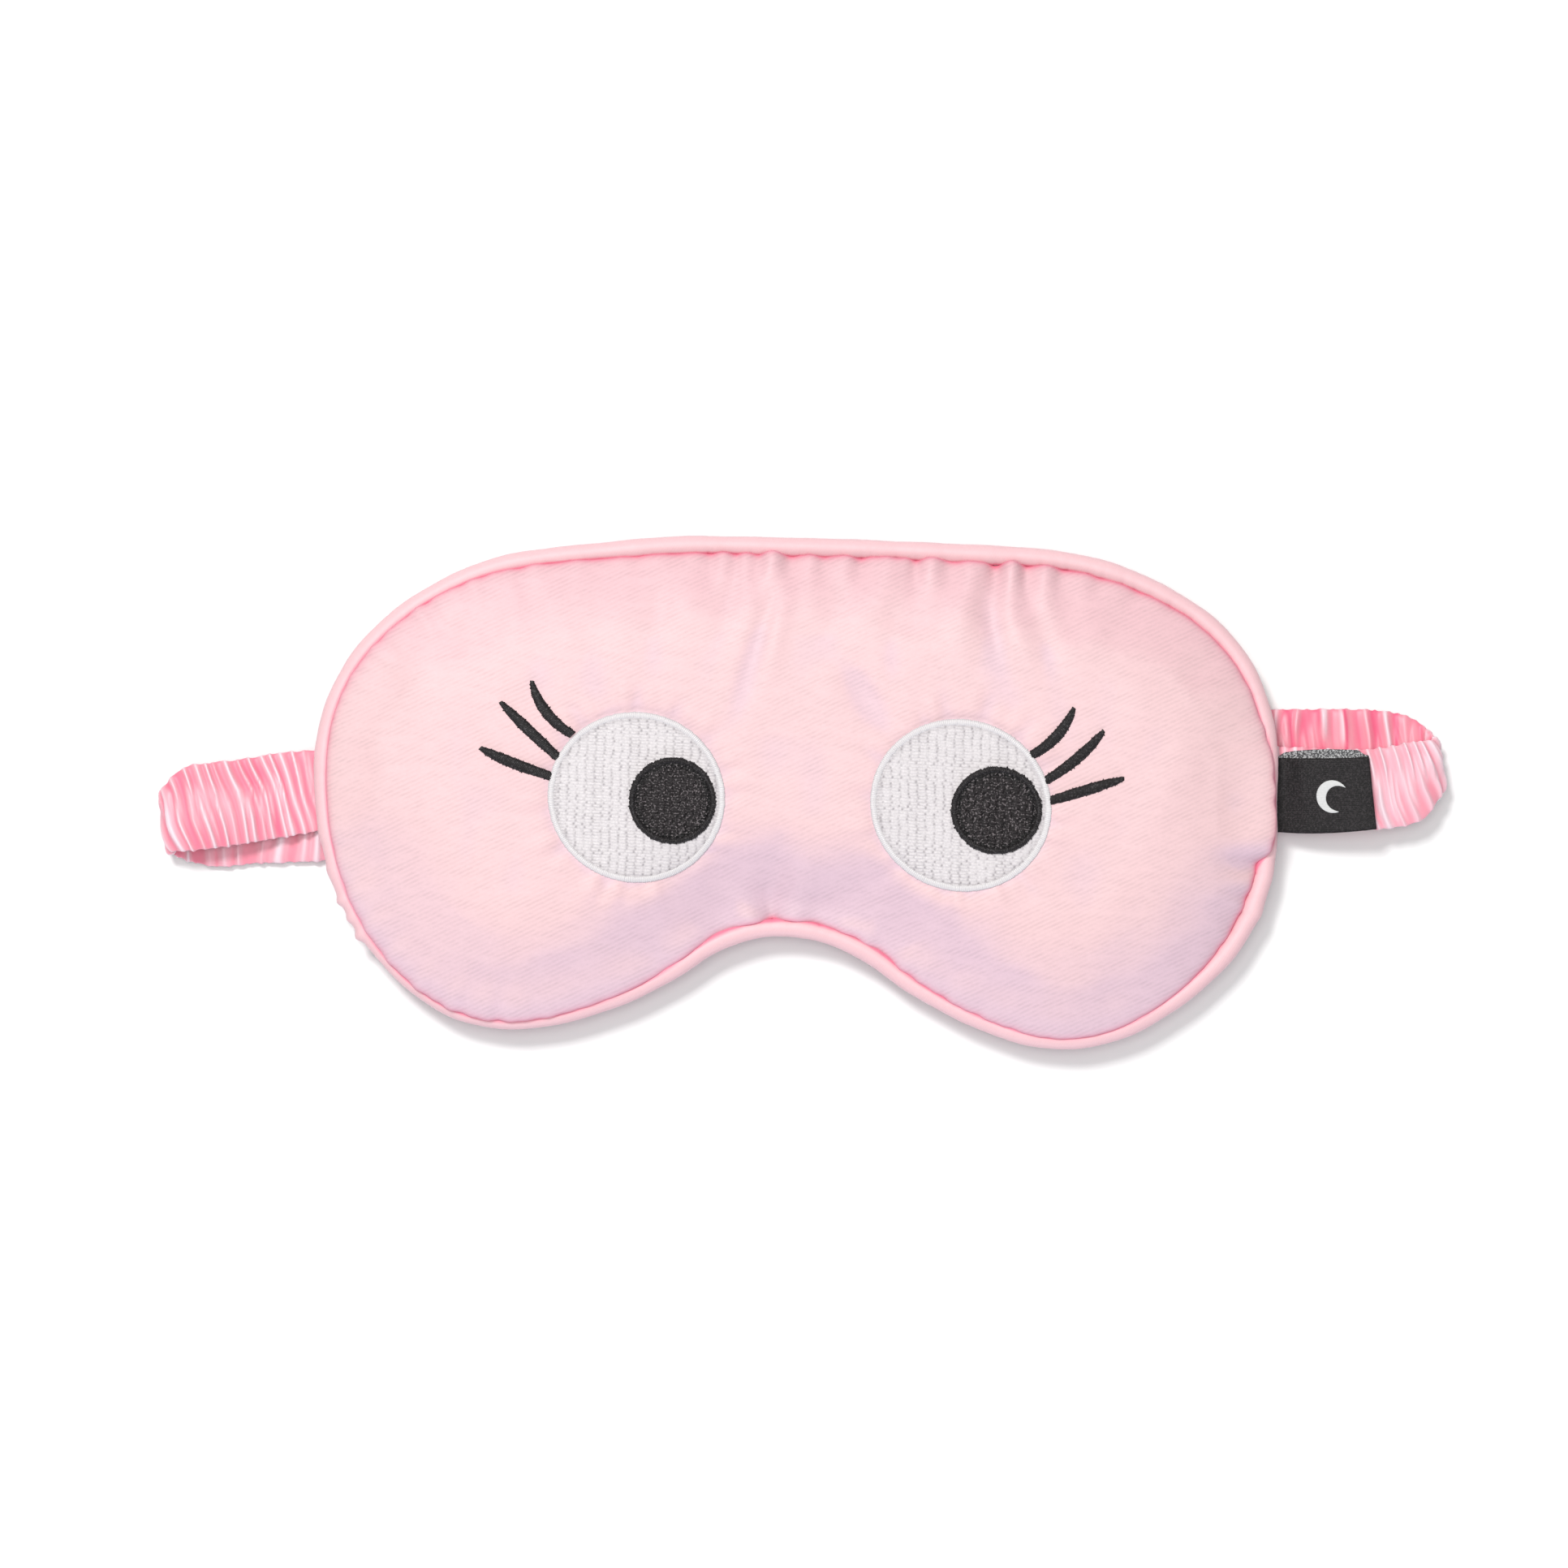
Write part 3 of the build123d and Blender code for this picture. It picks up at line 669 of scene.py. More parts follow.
def thread(name, color, shade, rough=0.4, bump=0.5, sheen=0.1, spec=0.5, speck=0.06, stretch=(1, 7, 7), glint=None):
    """Embroidery thread: lustrous yarn with twist lines, darker as painted shade where the needle holes and the gaps
    between threads are, with optional painted glints.
    """
    m, nt, p = material(name)
    L = nt.links
    vec = coords(nt, scale=stretch)
    fib = node(nt, "ShaderNodeTexNoise", Scale=900.0, Detail=2.0, Roughness=0.6)
    L.new(vec, fib.inputs["Vector"])
    speckle = node(nt, "ShaderNodeTexNoise", Scale=2600.0, Detail=1.0)
    L.new(coords(nt), speckle.inputs["Vector"])
    bright = math_node(nt, "ADD", math_node(nt, "MULTIPLY", fib.outputs["Fac"], speck * 2), 1 - speck)
    bright = math_node(nt, "MULTIPLY", bright, math_node(nt, "ADD", math_node(nt, "MULTIPLY", speckle.outputs["Fac"], speck * 3), 1 - speck * 1.5))
    c = scale_color(nt, mix_color(nt, attribute(nt, "pit"), color, shade), bright)
    # painted glints: bright specks of the glint colour standing in for highlights on the thread
    if glint:
        glint_mask = math_node(nt, "MULTIPLY", math_node(nt, "SUBTRACT", speckle.outputs["Fac"], 0.572), 9.0, clamp=True)
        c = mix_color(nt, glint_mask, c, glint)
    L.new(c, p.inputs["Base Color"])
    b = node(nt, "ShaderNodeBump", Strength=bump, Distance=0.00006)
    L.new(fib.outputs["Fac"], b.inputs["Height"])
    L.new(b.outputs["Normal"], p.inputs["Normal"])
    p.inputs["Roughness"].default_value = rough
    p.inputs["Specular IOR Level"].default_value = spec
    p.inputs["Sheen Weight"].default_value = sheen
    p.inputs["Sheen Roughness"].default_value = 0.4
    m.diffuse_color = (*color, 1)
    return m


def plain_cloth(name, color, scale_mm=0.5, rough=0.85, bump=0.4, weave=True):
    """Matt woven or knitted cloth for the hidden layers."""
    m, nt, p = material(name)
    L = nt.links
    vec = coords(nt)
    if weave:
        t = node(nt, "ShaderNodeTexWave", wave_type="BANDS", bands_direction="X", Scale=2 * math.pi / (20 * scale_mm * 0.001), Distortion=0.6)
        u = node(nt, "ShaderNodeTexWave", wave_type="BANDS", bands_direction="Y", Scale=2 * math.pi / (20 * scale_mm * 0.001), Distortion=0.6)
        L.new(vec, t.inputs["Vector"])
        L.new(vec, u.inputs["Vector"])
        h = math_node(nt, "MULTIPLY", t.outputs["Fac"], u.outputs["Fac"])
    else:
        t = node(nt, "ShaderNodeTexNoise", Scale=1.0 / (scale_mm * 0.001), Detail=5.0, Roughness=0.7)
        L.new(vec, t.inputs["Vector"])
        h = t.outputs["Fac"]
    L.new(mix_color(nt, h, tuple(v * 0.82 for v in color), color), p.inputs["Base Color"])
    b = node(nt, "ShaderNodeBump", Strength=bump, Distance=0.0001)
    L.new(h, b.inputs["Height"])
    L.new(b.outputs["Normal"], p.inputs["Normal"])
    p.inputs["Roughness"].default_value = rough
    p.inputs["Sheen Weight"].default_value = 0.2
    m.diffuse_color = (*color, 1)
    return m


# the second constant is the painted shade colour of the creases along the seam
FACE_C, CREASE_SHADE_C = (0.664, 0.452, 0.467), (0.72, 0.18, 0.275)
M_FACE = satin("face_satin", FACE_C, CREASE_SHADE_C, twill=0.13, slub=0.028, fold_shading="fold_shading", rough=0.52, sheen=0.18, slope_shade=True)
M_BACK = satin("back_satin", FACE_C, CREASE_SHADE_C, twill=0.13, slub=0.028, twill_angle=-27, fold_shading="fold_shading", rough=0.5, sheen=0.18, slope_shade=True)
M_PIPE = satin("piping_satin", (0.71, 0.45, 0.48), CREASE_SHADE_C, twill=0.03, twill_angle=60, twill_mm=0.45, fold_shading="fold_shading", rough=0.5, sheen=0.18)
# strap: first colour the painted highlight of the pleat crests, middle its own pink, second the painted shade of the
# pleat hollows
M_STRAP = satin("strap_satin", (0.76, 0.57, 0.625), (0.70, 0.105, 0.20), fold_shading="fold_shading", rough=0.44, sheen=0.3, slub=0.012, middle=(0.735, 0.248, 0.318))
# each thread's second colour is painted shade for needle holes and gaps between threads
M_WHITE = thread("white_thread", (0.575, 0.537, 0.55), (0.25, 0.225, 0.24), rough=0.42, sheen=0.05, spec=0.35, speck=0.13)
M_WHITE_RING = thread("white_ring_thread", (0.615, 0.588, 0.597), (0.43, 0.40, 0.43), rough=0.36, speck=0.03, spec=0.4, stretch=(2, 2, 2))
# charcoal threads: the strong speckle is partly yarn tone and partly painted glints, the glint colour is painted glints
M_DARK = thread("charcoal_thread", (0.0125, 0.0095, 0.0105), (0.003, 0.0025, 0.003), rough=0.5, speck=0.5, spec=0.16, sheen=0.0, glint=(0.13, 0.112, 0.118))
M_DARK_SATIN = thread("charcoal_satin_thread", (0.017, 0.0145, 0.0155), (0.004, 0.0035, 0.004), rough=0.45, speck=0.45, glint=(0.05, 0.046, 0.048), spec=0.22, sheen=0.0, stretch=(2, 2, 2))
M_WADDING = plain_cloth("wadding_fibre", (0.86, 0.86, 0.85), 2.0, weave=False)
M_DARK_CLOTH = plain_cloth("interlining_cloth", (0.02, 0.02, 0.022), 0.6)
M_CORD = plain_cloth("filler_cord_cotton", (0.80, 0.78, 0.73), 0.8)
M_SEWING = thread("sewing_thread", (0.80, 0.42, 0.48), (0.6, 0.25, 0.3))
M_ELASTIC = plain_cloth("elastic_knit", (0.82, 0.81, 0.79), 0.9)
M_STABILISER = plain_cloth("stabiliser_felt", (0.80, 0.80, 0.78), 0.4, weave=False)


# ------------------------------------------------------------------ body shells
# painted shade: crease colour on the cloth next to the seam, where it folds in
def seam_crease_shade(shell, reach):
    return 0.95 * np.exp(-((np.maximum(shell.d - 0.75, 0) / reach) ** 2))


def offset_sheet(points, faces, amount):
    """Points moved along their averaged normals."""
    p = np.asarray(points)
    f = faces
    fn = np.cross(p[f[:, 2]] - p[f[:, 0]], p[f[:, 3]] - p[f[:, 1]])
    vn = np.zeros_like(p)
    for k in range(4):
        np.add.at(vn, f[:, k], fn)
    vn /= np.maximum(np.linalg.norm(vn, axis=1), 1e-12)[:, None]
    return p + vn * amount


def shell_body(name, outer, faces, thick, mat, shell, reach):
    inner = offset_sheet(outer, faces, -thick)
    v, f = close_sheet(outer, inner, faces)
    # painted shade by slope: lavender where the cloth leans towards -Y (and, in its lower half, to either side), rosier
    # where it leans towards +Y
    lean = (outer - inner)[:, 1] / thick
    lean = lean - 0.55 * np.abs((outer - inner)[:, 0] / thick) * smooth01((2 - outer[:, 1]) / 26) * smooth01((shell.d - 0.5) / 3)
    e = np.vstack([faces[:, [k, (k + 1) % 4]] for k in range(4)])
    for _ in range(25):
        acc, cnt = np.zeros(len(outer)), np.zeros(len(outer))
        np.add.at(acc, e[:, 0], lean[e[:, 1]])
        np.add.at(acc, e[:, 1], lean[e[:, 0]])
        np.add.at(cnt, e.ravel(), 1)
        lean = 0.5 * lean + 0.5 * acc / cnt
    lilac_shade, rose_shade = smooth01((-lean - 0.06) / 0.32), smooth01((lean - 0.05) / 0.34)
    # and painted lavender shade in the hollows
    z, low = outer[:, 2], outer[:, 2].copy()
    for _ in range(160):
        acc = np.zeros(len(outer))
        np.add.at(acc, e[:, 0], low[e[:, 1]])
        np.add.at(acc, e[:, 1], low[e[:, 0]])
        low = np.where(shell.d < 1.2, low, 0.4 * low + 0.6 * acc / cnt)
    hollow = np.clip((low - z) / 0.12, 0, 1) * smooth01((shell.d - 1.5) / 3) * (1 if thick > 0 and outer[:, 2].mean() > 8 else 0)
    for _ in range(4):
        acc = np.zeros(len(outer))
        np.add.at(acc, e[:, 0], hollow[e[:, 1]])
        np.add.at(acc, e[:, 1], hollow[e[:, 0]])
        hollow = 0.5 * hollow + 0.5 * acc / cnt
    lilac_shade = np.clip(lilac_shade + 0.6 * hollow, 0, 1)
    return mesh_object(name, v, f, mat, attrs={"fold_shading": np.tile(seam_crease_shade(shell, reach), 2), "lilac_shade": np.tile(lilac_shade, 2), "rose_shade": np.tile(rose_shade, 2)})


face_ob = shell_body("face_cloth", front, fine.faces, 0.4, M_FACE, fine, 0.8)
back_faces = fine.faces[:, ::-1]
back_ob = shell_body("back_cloth", back, back_faces, 0.4, M_BACK, fine, 0.8)

thin = Shell(3, [0, 0.7, 1.9, 3.6, 5.4, 7.3, 9.2, 11.1, 13.0, BAND])


def layer(name, mat, low, high):
    """Closed inner layer on the coarse sheet, between two heights per point."""
    v = np.vstack([np.column_stack([thin.xy, high]), np.column_stack([thin.xy, low])])
    n = len(thin.xy)
    e = boundary_edges(thin.faces)
    sides = np.stack([e[:, 1], e[:, 0], e[:, 0] + n, e[:, 1] + n], 1)
    return mesh_object(name, v, [thin.faces, thin.faces[:, ::-1] + n, sides], mat)


def nearest_height(points, shell):
    """Ray-cast tree of a fine surface, from which height_on reads heights at the coarse sheet's points."""
    tree = BVHTree.FromPolygons([tuple(p) for p in points], [tuple(int(i) for i in f) for f in shell.faces])
    return tree


front_tree = nearest_height(front, fine)
back_tree = nearest_height(back, fine)


def height_on(tree, x, y, above=True):
    z = np.empty(np.shape(x))
    flat = z.ravel()
    for k, (a, b) in enumerate(zip(np.ravel(x), np.ravel(y))):
        hit = tree.ray_cast((float(a), float(b), 60.0 if above else -60.0), (0, 0, -1.0 if above else 1.0))
        flat[k] = hit[0].z if hit[0] is not None else np.nan
    return z


zt = height_on(front_tree, thin.xy[:, 0], thin.xy[:, 1])
zl = height_on(back_tree, thin.xy[:, 0], thin.xy[:, 1], above=False)
zt = np.where(np.isnan(zt), 8.0, zt)
zl = np.where(np.isnan(zl), 6.0, zl)
inside = smooth01(thin.d / 3.0)
top_w = 6.8 + (np.maximum(zt - 1.3, 6.8) - 6.8) * inside
low_w = 6.2 - (6.2 - np.minimum(zl + 1.5, 6.2)) * inside
wadding_ob = layer("wadding_fill", M_WADDING, low_w, np.maximum(top_w, low_w + 0.2))
dark_top = 6.0 - (6.0 - np.minimum(zl + 1.2, 6.0)) * inside
dark_low = dark_top - 0.3
blackout_ob = layer("blackout_sheet", M_DARK_CLOTH, dark_low, dark_top)
for ob in (wadding_ob, blackout_ob):
    co = np.empty(len(ob.data.vertices) * 3)
    ob.data.vertices.foreach_get("co", co)
    co = co.reshape(-1, 3)
    nn = np.tile(NOR[np.floor(thin.s / RIM_LEN * N_RIM).astype(int) % N_RIM], (2, 1))
    co[:, :2] -= nn * (0.0011 * np.exp(-np.tile(thin.d, 2) / 3.0))[:, None]
    ob.data.vertices.foreach_set("co", co.ravel())
    ob.data.update()


# ------------------------------------------------------------------ piping
def rim_tube(name, inset, zc, radius, sides, mat, step=1, wobble=False, flat=1.0):
    p, nor = OUT[::step], NOR[::step]
    s = S_RIM[::step]
    n = len(p)
    a = np.arange(sides) / sides * 2 * math.pi
    r = np.full((n, sides), float(radius))
    cin = np.full(n, float(inset))
    zz = np.full(n, float(zc))
    if wobble:
        # bias strip: slight pinches at the seam and uneven filling
        pin = np.zeros(n)
        for s0 in np.arange(0, RIM_LEN, 3.7):
            pin += rng.uniform(0.25, 1.0) * gauss(wrap(s - s0 - rng.uniform(-1.2, 1.2)), rng.uniform(0.35, 0.8))
        inner_side = np.clip(-np.cos(a), 0, 1)[None, :]
        r -= 0.22 * pin[:, None] * inner_side**1.2
        r -= 0.05 * pin[:, None] * (1 - inner_side)
        r += 0.06 * np.sin(2 * math.pi * s / 31 + 1)[:, None] + 0.05 * np.sin(2 * math.pi * s / 12.7 + 2)[:, None]
        # a few crumples of the strip on the lower left side and by the label
        for x, y, amp, w in [(-92.6, -25.0, 0.75, 1.0), (-90.6, -28.6, 0.55, 0.9), (-88.3, -32.2, 0.95, 1.1), (-95.0, -19.5, 0.35, 1.6), (-99.0, -12, 0.2, 2.0), (99, -16, 0.3, 2.5), (96, -24, 0.35, 1.8)]:
            k = gauss(wrap(s - s_at(x, y)), w)
            r += amp * k[:, None] * np.clip(np.cos(a), 0, 1)[None, :]
    dirs = np.stack([np.cos(a), np.sin(a)], 1)
    out = cin[:, None] - r * dirs[None, :, 0]
    z = zz[:, None] + r * dirs[None, :, 1] * flat
    xy = p[:, None, :] - nor[:, None, :] * out[..., None]
    v = np.concatenate([xy, z[..., None]], -1).reshape(-1, 3)
    i, k = np.meshgrid(np.arange(n), np.arange(sides), indexing="ij")
    i, k = i.ravel(), k.ravel()
    i2, k2 = (i + 1) % n, (k + 1) % sides
    f = np.stack([i * sides + k, i2 * sides + k, i2 * sides + k2, i * sides + k2], 1)
    painted_shading = np.zeros((n, sides))
    if wobble:
        # painted shade: crease colour on the piping next to the face's edge
        edge = visible(s / RIM_LEN)[:, None]
        from_edge = edge - (inset - radius * np.cos(a))[None, :]
        painted_shading[:] = 0.95 * smooth01((0.75 - from_edge) / 0.6)
    return mesh_object(name, v, f, mat, attrs={"fold_shading": painted_shading.ravel()})


piping_ob = rim_tube("piping_tube", 2.0, 8.2, 2.0, 28, M_PIPE, wobble=True)
cord_ob = rim_tube("piping_filler", 2.0, 8.2, 1.35, 12, M_CORD, step=3)
seam_ob = rim_tube("seam_stitching", 5.4, 6.55, 0.14, 6, M_SEWING, step=2)


# ------------------------------------------------------------------ embroidery
# the stitching has drawn the rounds slightly out of true: stretch, squeeze, direction
TRUE = (1.0, 1.0, 0.0)
EYE_SHAPE = {"left": (1.010, 0.968, -12.0), "right": (1.037, 0.973, -19.0)}
PUPIL_SHAPE = {"left": (1.005, 1.0, 0.0), "right": (1.05, 1.01, 0.0)}


def reshape_round(x, y, shape):
    a = math.radians(shape[2])
    u, v = x * math.cos(a) + y * math.sin(a), -x * math.sin(a) + y * math.cos(a)
    u, v = u * shape[0], v * shape[1]
    return u * math.cos(a) - v * math.sin(a), u * math.sin(a) + v * math.cos(a)


def patch_grid(cx, cy, radius, step):
    m = int(radius / step) + 1
    g = np.arange(-m, m + 1) * step
    gx, gy = np.meshgrid(g, g, indexing="ij")
    ok = np.hypot(gx, gy) < radius
    quad = ok[:-1, :-1] & ok[1:, :-1] & ok[1:, 1:] & ok[:-1, 1:]
    idx = np.arange(gx.size).reshape(gx.shape)
    f = np.stack([idx[:-1, :-1], idx[1:, :-1], idx[1:, 1:], idx[:-1, 1:]], -1)[quad]
    used = np.unique(f)
    remap = np.full(gx.size, -1)
    remap[used] = np.arange(len(used))
    return gx.ravel()[used], gy.ravel()[used], remap[f]


def fill_stitches(name, cx, cy, radius, base, mat, row, column, seed, step, relief, pit_depth, angle=0.0, shape=TRUE, rim_groove_shade=0.0):
    """Filled embroidery: rows of run stitches whose needle holes line up in columns."""
    lx, ly, f = patch_grid(cx, cy, radius, step)
    r = np.random.default_rng(seed)
    ca, sa = math.cos(angle), math.sin(angle)
    u, v = lx * ca + ly * sa, -lx * sa + ly * ca
    ri = np.floor(v / row)
    rows = int(radius / row) + 3
    jitter = r.normal(0, 0.13, 2 * rows + 2)
    shift = np.array([0.0, 0.30, 0.08, 0.42, 0.16, 0.36])[np.mod(ri, 6).astype(int)] * column * 0.42
    off = jitter[np.clip(ri + rows, 0, 2 * rows + 1).astype(int)] + shift
    vv = v / row - ri
    cu = (u - off) / column
    cui = np.round(cu)
    du = (cu - cui) * column
    bulge = np.sqrt(np.clip(1 - (2 * vv - 1) ** 2, 0, 1))
    rr = np.hypot(lx, ly)
    seedh = np.mod(np.sin(ri * 127.1 + cui * 311.7 + seed) * 43758.5453, 1.0)
    pit = gauss(du, 0.20) * gauss(vv - 0.5, 0.36) * (0.25 + 0.75 * seedh)
    h = relief * bulge - pit_depth * pit + 0.03 * (seedh - 0.5)
    h *= smooth01((radius - rr) / 0.5)
    lx, ly = reshape_round(lx, ly, shape)
    z = height_on(front_tree, lx + cx, ly + cy) + base + h
    top = np.column_stack([lx + cx, ly + cy, z])
    bottom = top.copy()
    bottom[:, 2] = z - h - base - 0.15
    vts, fs = close_sheet(top, bottom, f)
    # painted shade: darker in the needle holes, between rows and in the groove round the edge
    rim = gauss(rr - (radius - 0.70), 0.5)
    pit_shading = np.clip(pit * 1.05 + 0.30 * (1 - bulge) * (0.4 + 1.2 * seedh) + rim_groove_shade * rim, 0, 1)
    return mesh_object(name, vts, fs, mat, attrs={"pit": np.tile(pit_shading, 2)})


def satin_ring(name, cx, cy, r_out, width, base, height, mat, seed, pitch=0.38, shape=TRUE, ragged=0.045):
    """Satin stitch round a circle: one thread beside another, each across the ring."""
    per = 5
    count = int(2 * math.pi * (r_out - width / 2) / pitch)
    n, m = count * per, 11
    r = np.random.default_rng(seed)
    outj, inj, hj = r.normal(0, ragged, count), r.normal(0, 0.05, count), r.normal(0, 0.02, count)
    k = np.arange(n)
    th = k / n * 2 * math.pi
    which = k // per
    ph = (k % per) / per
    ridge = np.sin(math.pi * (ph + 0.5 / per))
    t = np.linspace(0, 1, m)
    ro = r_out + outj[which] * ridge - 0.05 * (1 - ridge)
    ri = r_out - width + inj[which]
    rad = ri[:, None] + (ro - ri)[:, None] * t[None, :]
    prof = np.sqrt(np.clip(1 - (2 * t - 1) ** 2, 0, 1)) ** 0.8
    h = (height + hj[which])[:, None] * prof[None, :] * (0.82 + 0.18 * ridge)[:, None]
    x, y = reshape_round(rad * np.cos(th)[:, None], rad * np.sin(th)[:, None], shape)
    x, y = x + cx, y + cy
    zr = height_on(front_tree, x[::per], y[::per])
    z0 = np.stack([np.interp(k, np.append(k[::per], n), np.append(zr[:, j], zr[0, j])) for j in range(m)], 1)
    top = np.stack([x, y, z0 + base + h], -1).reshape(-1, 3)
    low = np.stack([x, y, z0 - 0.12 + 0 * h], -1).reshape(-1, 3)
    i, j = np.meshgrid(np.arange(n), np.arange(m - 1), indexing="ij")
    i, j = i.ravel(), j.ravel()
    i2 = (i + 1) % n
    f = np.stack([i * m + j, i * m + j + 1, i2 * m + j + 1, i2 * m + j], 1)
    v, fs = close_sheet(top, low, f)
    # painted shade between the threads and towards the ring's edges
    pit = np.repeat(0.55 * (1 - ridge) ** 1.5, m).reshape(n, m) + 0.10 * (1 - prof)[None, :]
    return mesh_object(name, v, fs, mat, attrs={"pit": np.tile(np.clip(pit, 0, 1).ravel(), 2)})


def bezier2(p0, pm, p1, t):
    """Quadratic curve from p0 to p1 that passes through pm half way."""
    p0, pm, p1 = (np.array(q, float) for q in (p0, pm, p1))
    c = 2 * pm - 0.5 * (p0 + p1)
    t = t[:, None]
    return (1 - t) ** 2 * p0 + 2 * t * (1 - t) * c + t**2 * p1


def lash(tip, mid, root, seed, width):
    """Satin-stitched lash, thin at its tip, with the threads across it."""
    r = np.random.default_rng(seed)
    t = np.linspace(0, 1, 400)
    c = bezier2(tip, mid, root, t)
    s = np.concatenate([[0], np.cumsum(np.linalg.norm(np.diff(c, axis=0), axis=1))])
    per, pitch, m = 5, 0.36, 11
    count = int(s[-1] / pitch)
    n = count * per + 1
    ss = np.linspace(0, s[-1], n)
    tt = np.interp(ss, s, t)
    c = bezier2(tip, mid, root, tt)
    tan = np.gradient(c, axis=0)
    tan /= np.linalg.norm(tan, axis=1)[:, None]
    nor = np.stack([-tan[:, 1], tan[:, 0]], 1)
    which = np.minimum(np.arange(n) // per, count - 1)
    ph = (np.arange(n) % per) / per
    ridge = np.sin(math.pi * (ph + 0.5 / per))
    prof_w = np.interp(tt, [0, 0.06, 0.16, 0.4, 0.7, 0.9, 1], [0.34, 0.52, 0.74, 1.0, 0.97, 0.84, 0.78]) * width / 2
    jl, jr = np.abs(r.normal(0, 0.13, count)), np.abs(r.normal(0, 0.13, count))
    wl = prof_w + jl[which] * ridge - 0.04
    wr = prof_w + jr[which] * ridge - 0.04
    q = np.linspace(-1, 1, m)
    slant = 0.28
    lat = np.where(q[None, :] < 0, wl[:, None] * q[None, :], wr[:, None] * q[None, :])
    px = c[:, None, :] + nor[:, None, :] * lat[..., None] + tan[:, None, :] * (slant * lat)[..., None]
    prof = np.sqrt(np.clip(1 - np.abs(q) ** 2.4, 0, 1))
    h = 0.55 * prof[None, :] * (0.72 + 0.28 * ridge)[:, None]
    h *= np.interp(tt, [0, 0.05, 0.95, 1], [0.35, 1, 1, 0.7])[:, None]
    zr = height_on(front_tree, px[::per, :, 0], px[::per, :, 1])
    z0 = np.stack([np.interp(np.arange(n), np.arange(n)[::per], zr[:, j]) for j in range(m)], 1)
    top = np.concatenate([px, (z0 + 0.03 + h)[..., None]], -1).reshape(-1, 3)
    low = np.concatenate([px, (z0 - 0.12 + 0 * h)[..., None]], -1).reshape(-1, 3)
    i, j = np.meshgrid(np.arange(n - 1), np.arange(m - 1), indexing="ij")
    i, j = i.ravel(), j.ravel()
    f = np.stack([i * m + j, (i + 1) * m + j, (i + 1) * m + j + 1, i * m + j + 1], 1)
    v, fs = close_sheet(top, low, f)
    # painted shade between the threads and towards the lash's edges
    pit = np.clip(0.6 * (1 - ridge)[:, None] ** 1.3 + 0.45 * (1 - prof)[None, :] ** 2, 0, 1)
    return v, fs, np.tile(pit.ravel(), 2)


def join(parts):
    vs, groups, pit_shading, base = [], [[], [], []], [], 0
    for v, fs, p in parts:
        for k, f in enumerate(fs):
            groups[k].append(f + base)
        vs.append(v)
        pit_shading.append(p)
        base += len(v)
    return np.vstack(vs), [np.vstack(g) for g in groups], np.concatenate(pit_shading)


embroidery = []
for side, (ex, ey, px, py) in EYES.items():
    gx, gy, gf = patch_grid(ex, ey, 17.6, 0.7)
    gx, gy = reshape_round(gx, gy, EYE_SHAPE[side])
    gz = height_on(front_tree, gx + ex, gy + ey)
    gv, gfs = close_sheet(np.column_stack([gx + ex, gy + ey, gz - 0.46]), np.column_stack([gx + ex, gy + ey, gz - 0.82]), gf)
    felt = mesh_object(side + "_stabiliser", gv, gfs, M_STABILISER)
    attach(felt, "mask")
    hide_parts(side + "_embroidery_backing")
    seed = 100 if side == "left" else 200
    w = fill_stitches(side + "_white_fill", ex, ey, EYE_R - 0.8, 0.22, M_WHITE, 0.66, 1.76, seed, 0.165, 0.15, 0.14, angle=-0.02, shape=EYE_SHAPE[side], rim_groove_shade=0.22)
    wr = satin_ring(side + "_white_ring", ex, ey, EYE_R, 1.45, 0.0, 0.55, M_WHITE_RING, seed + 1, shape=EYE_SHAPE[side])
    d = fill_stitches(side + "_pupil_fill", px, py, PUPIL_R - 0.8, 0.62, M_DARK, 0.58, 1.45, seed + 2, 0.145, 0.20, 0.30, angle=-0.02, shape=PUPIL_SHAPE[side], rim_groove_shade=0.95)
    dr = satin_ring(side + "_pupil_ring", px, py, PUPIL_R, 1.35, 0.25, 0.90, M_DARK_SATIN, seed + 3, shape=PUPIL_SHAPE[side], ragged=0.11)
    v, f, p = join([lash(*l, seed=seed + 10 + k, width=2.25) for k, l in enumerate(LASHES[side])])
    lo = mesh_object(side + "_lash_stitches", v, f, M_DARK_SATIN, attrs={"pit": p})
    for ob, nd, sl in ((w, "_eye_white", "white_thread"), (wr, "_eye_border", "white_thread"), (d, "_pupil", "charcoal_thread"),
                       (dr, "_pupil_border", "charcoal_thread"), (lo, "_lashes", "charcoal_thread")):
        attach(ob, "mask")
        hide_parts(side + nd)
        embroidery.append(ob)


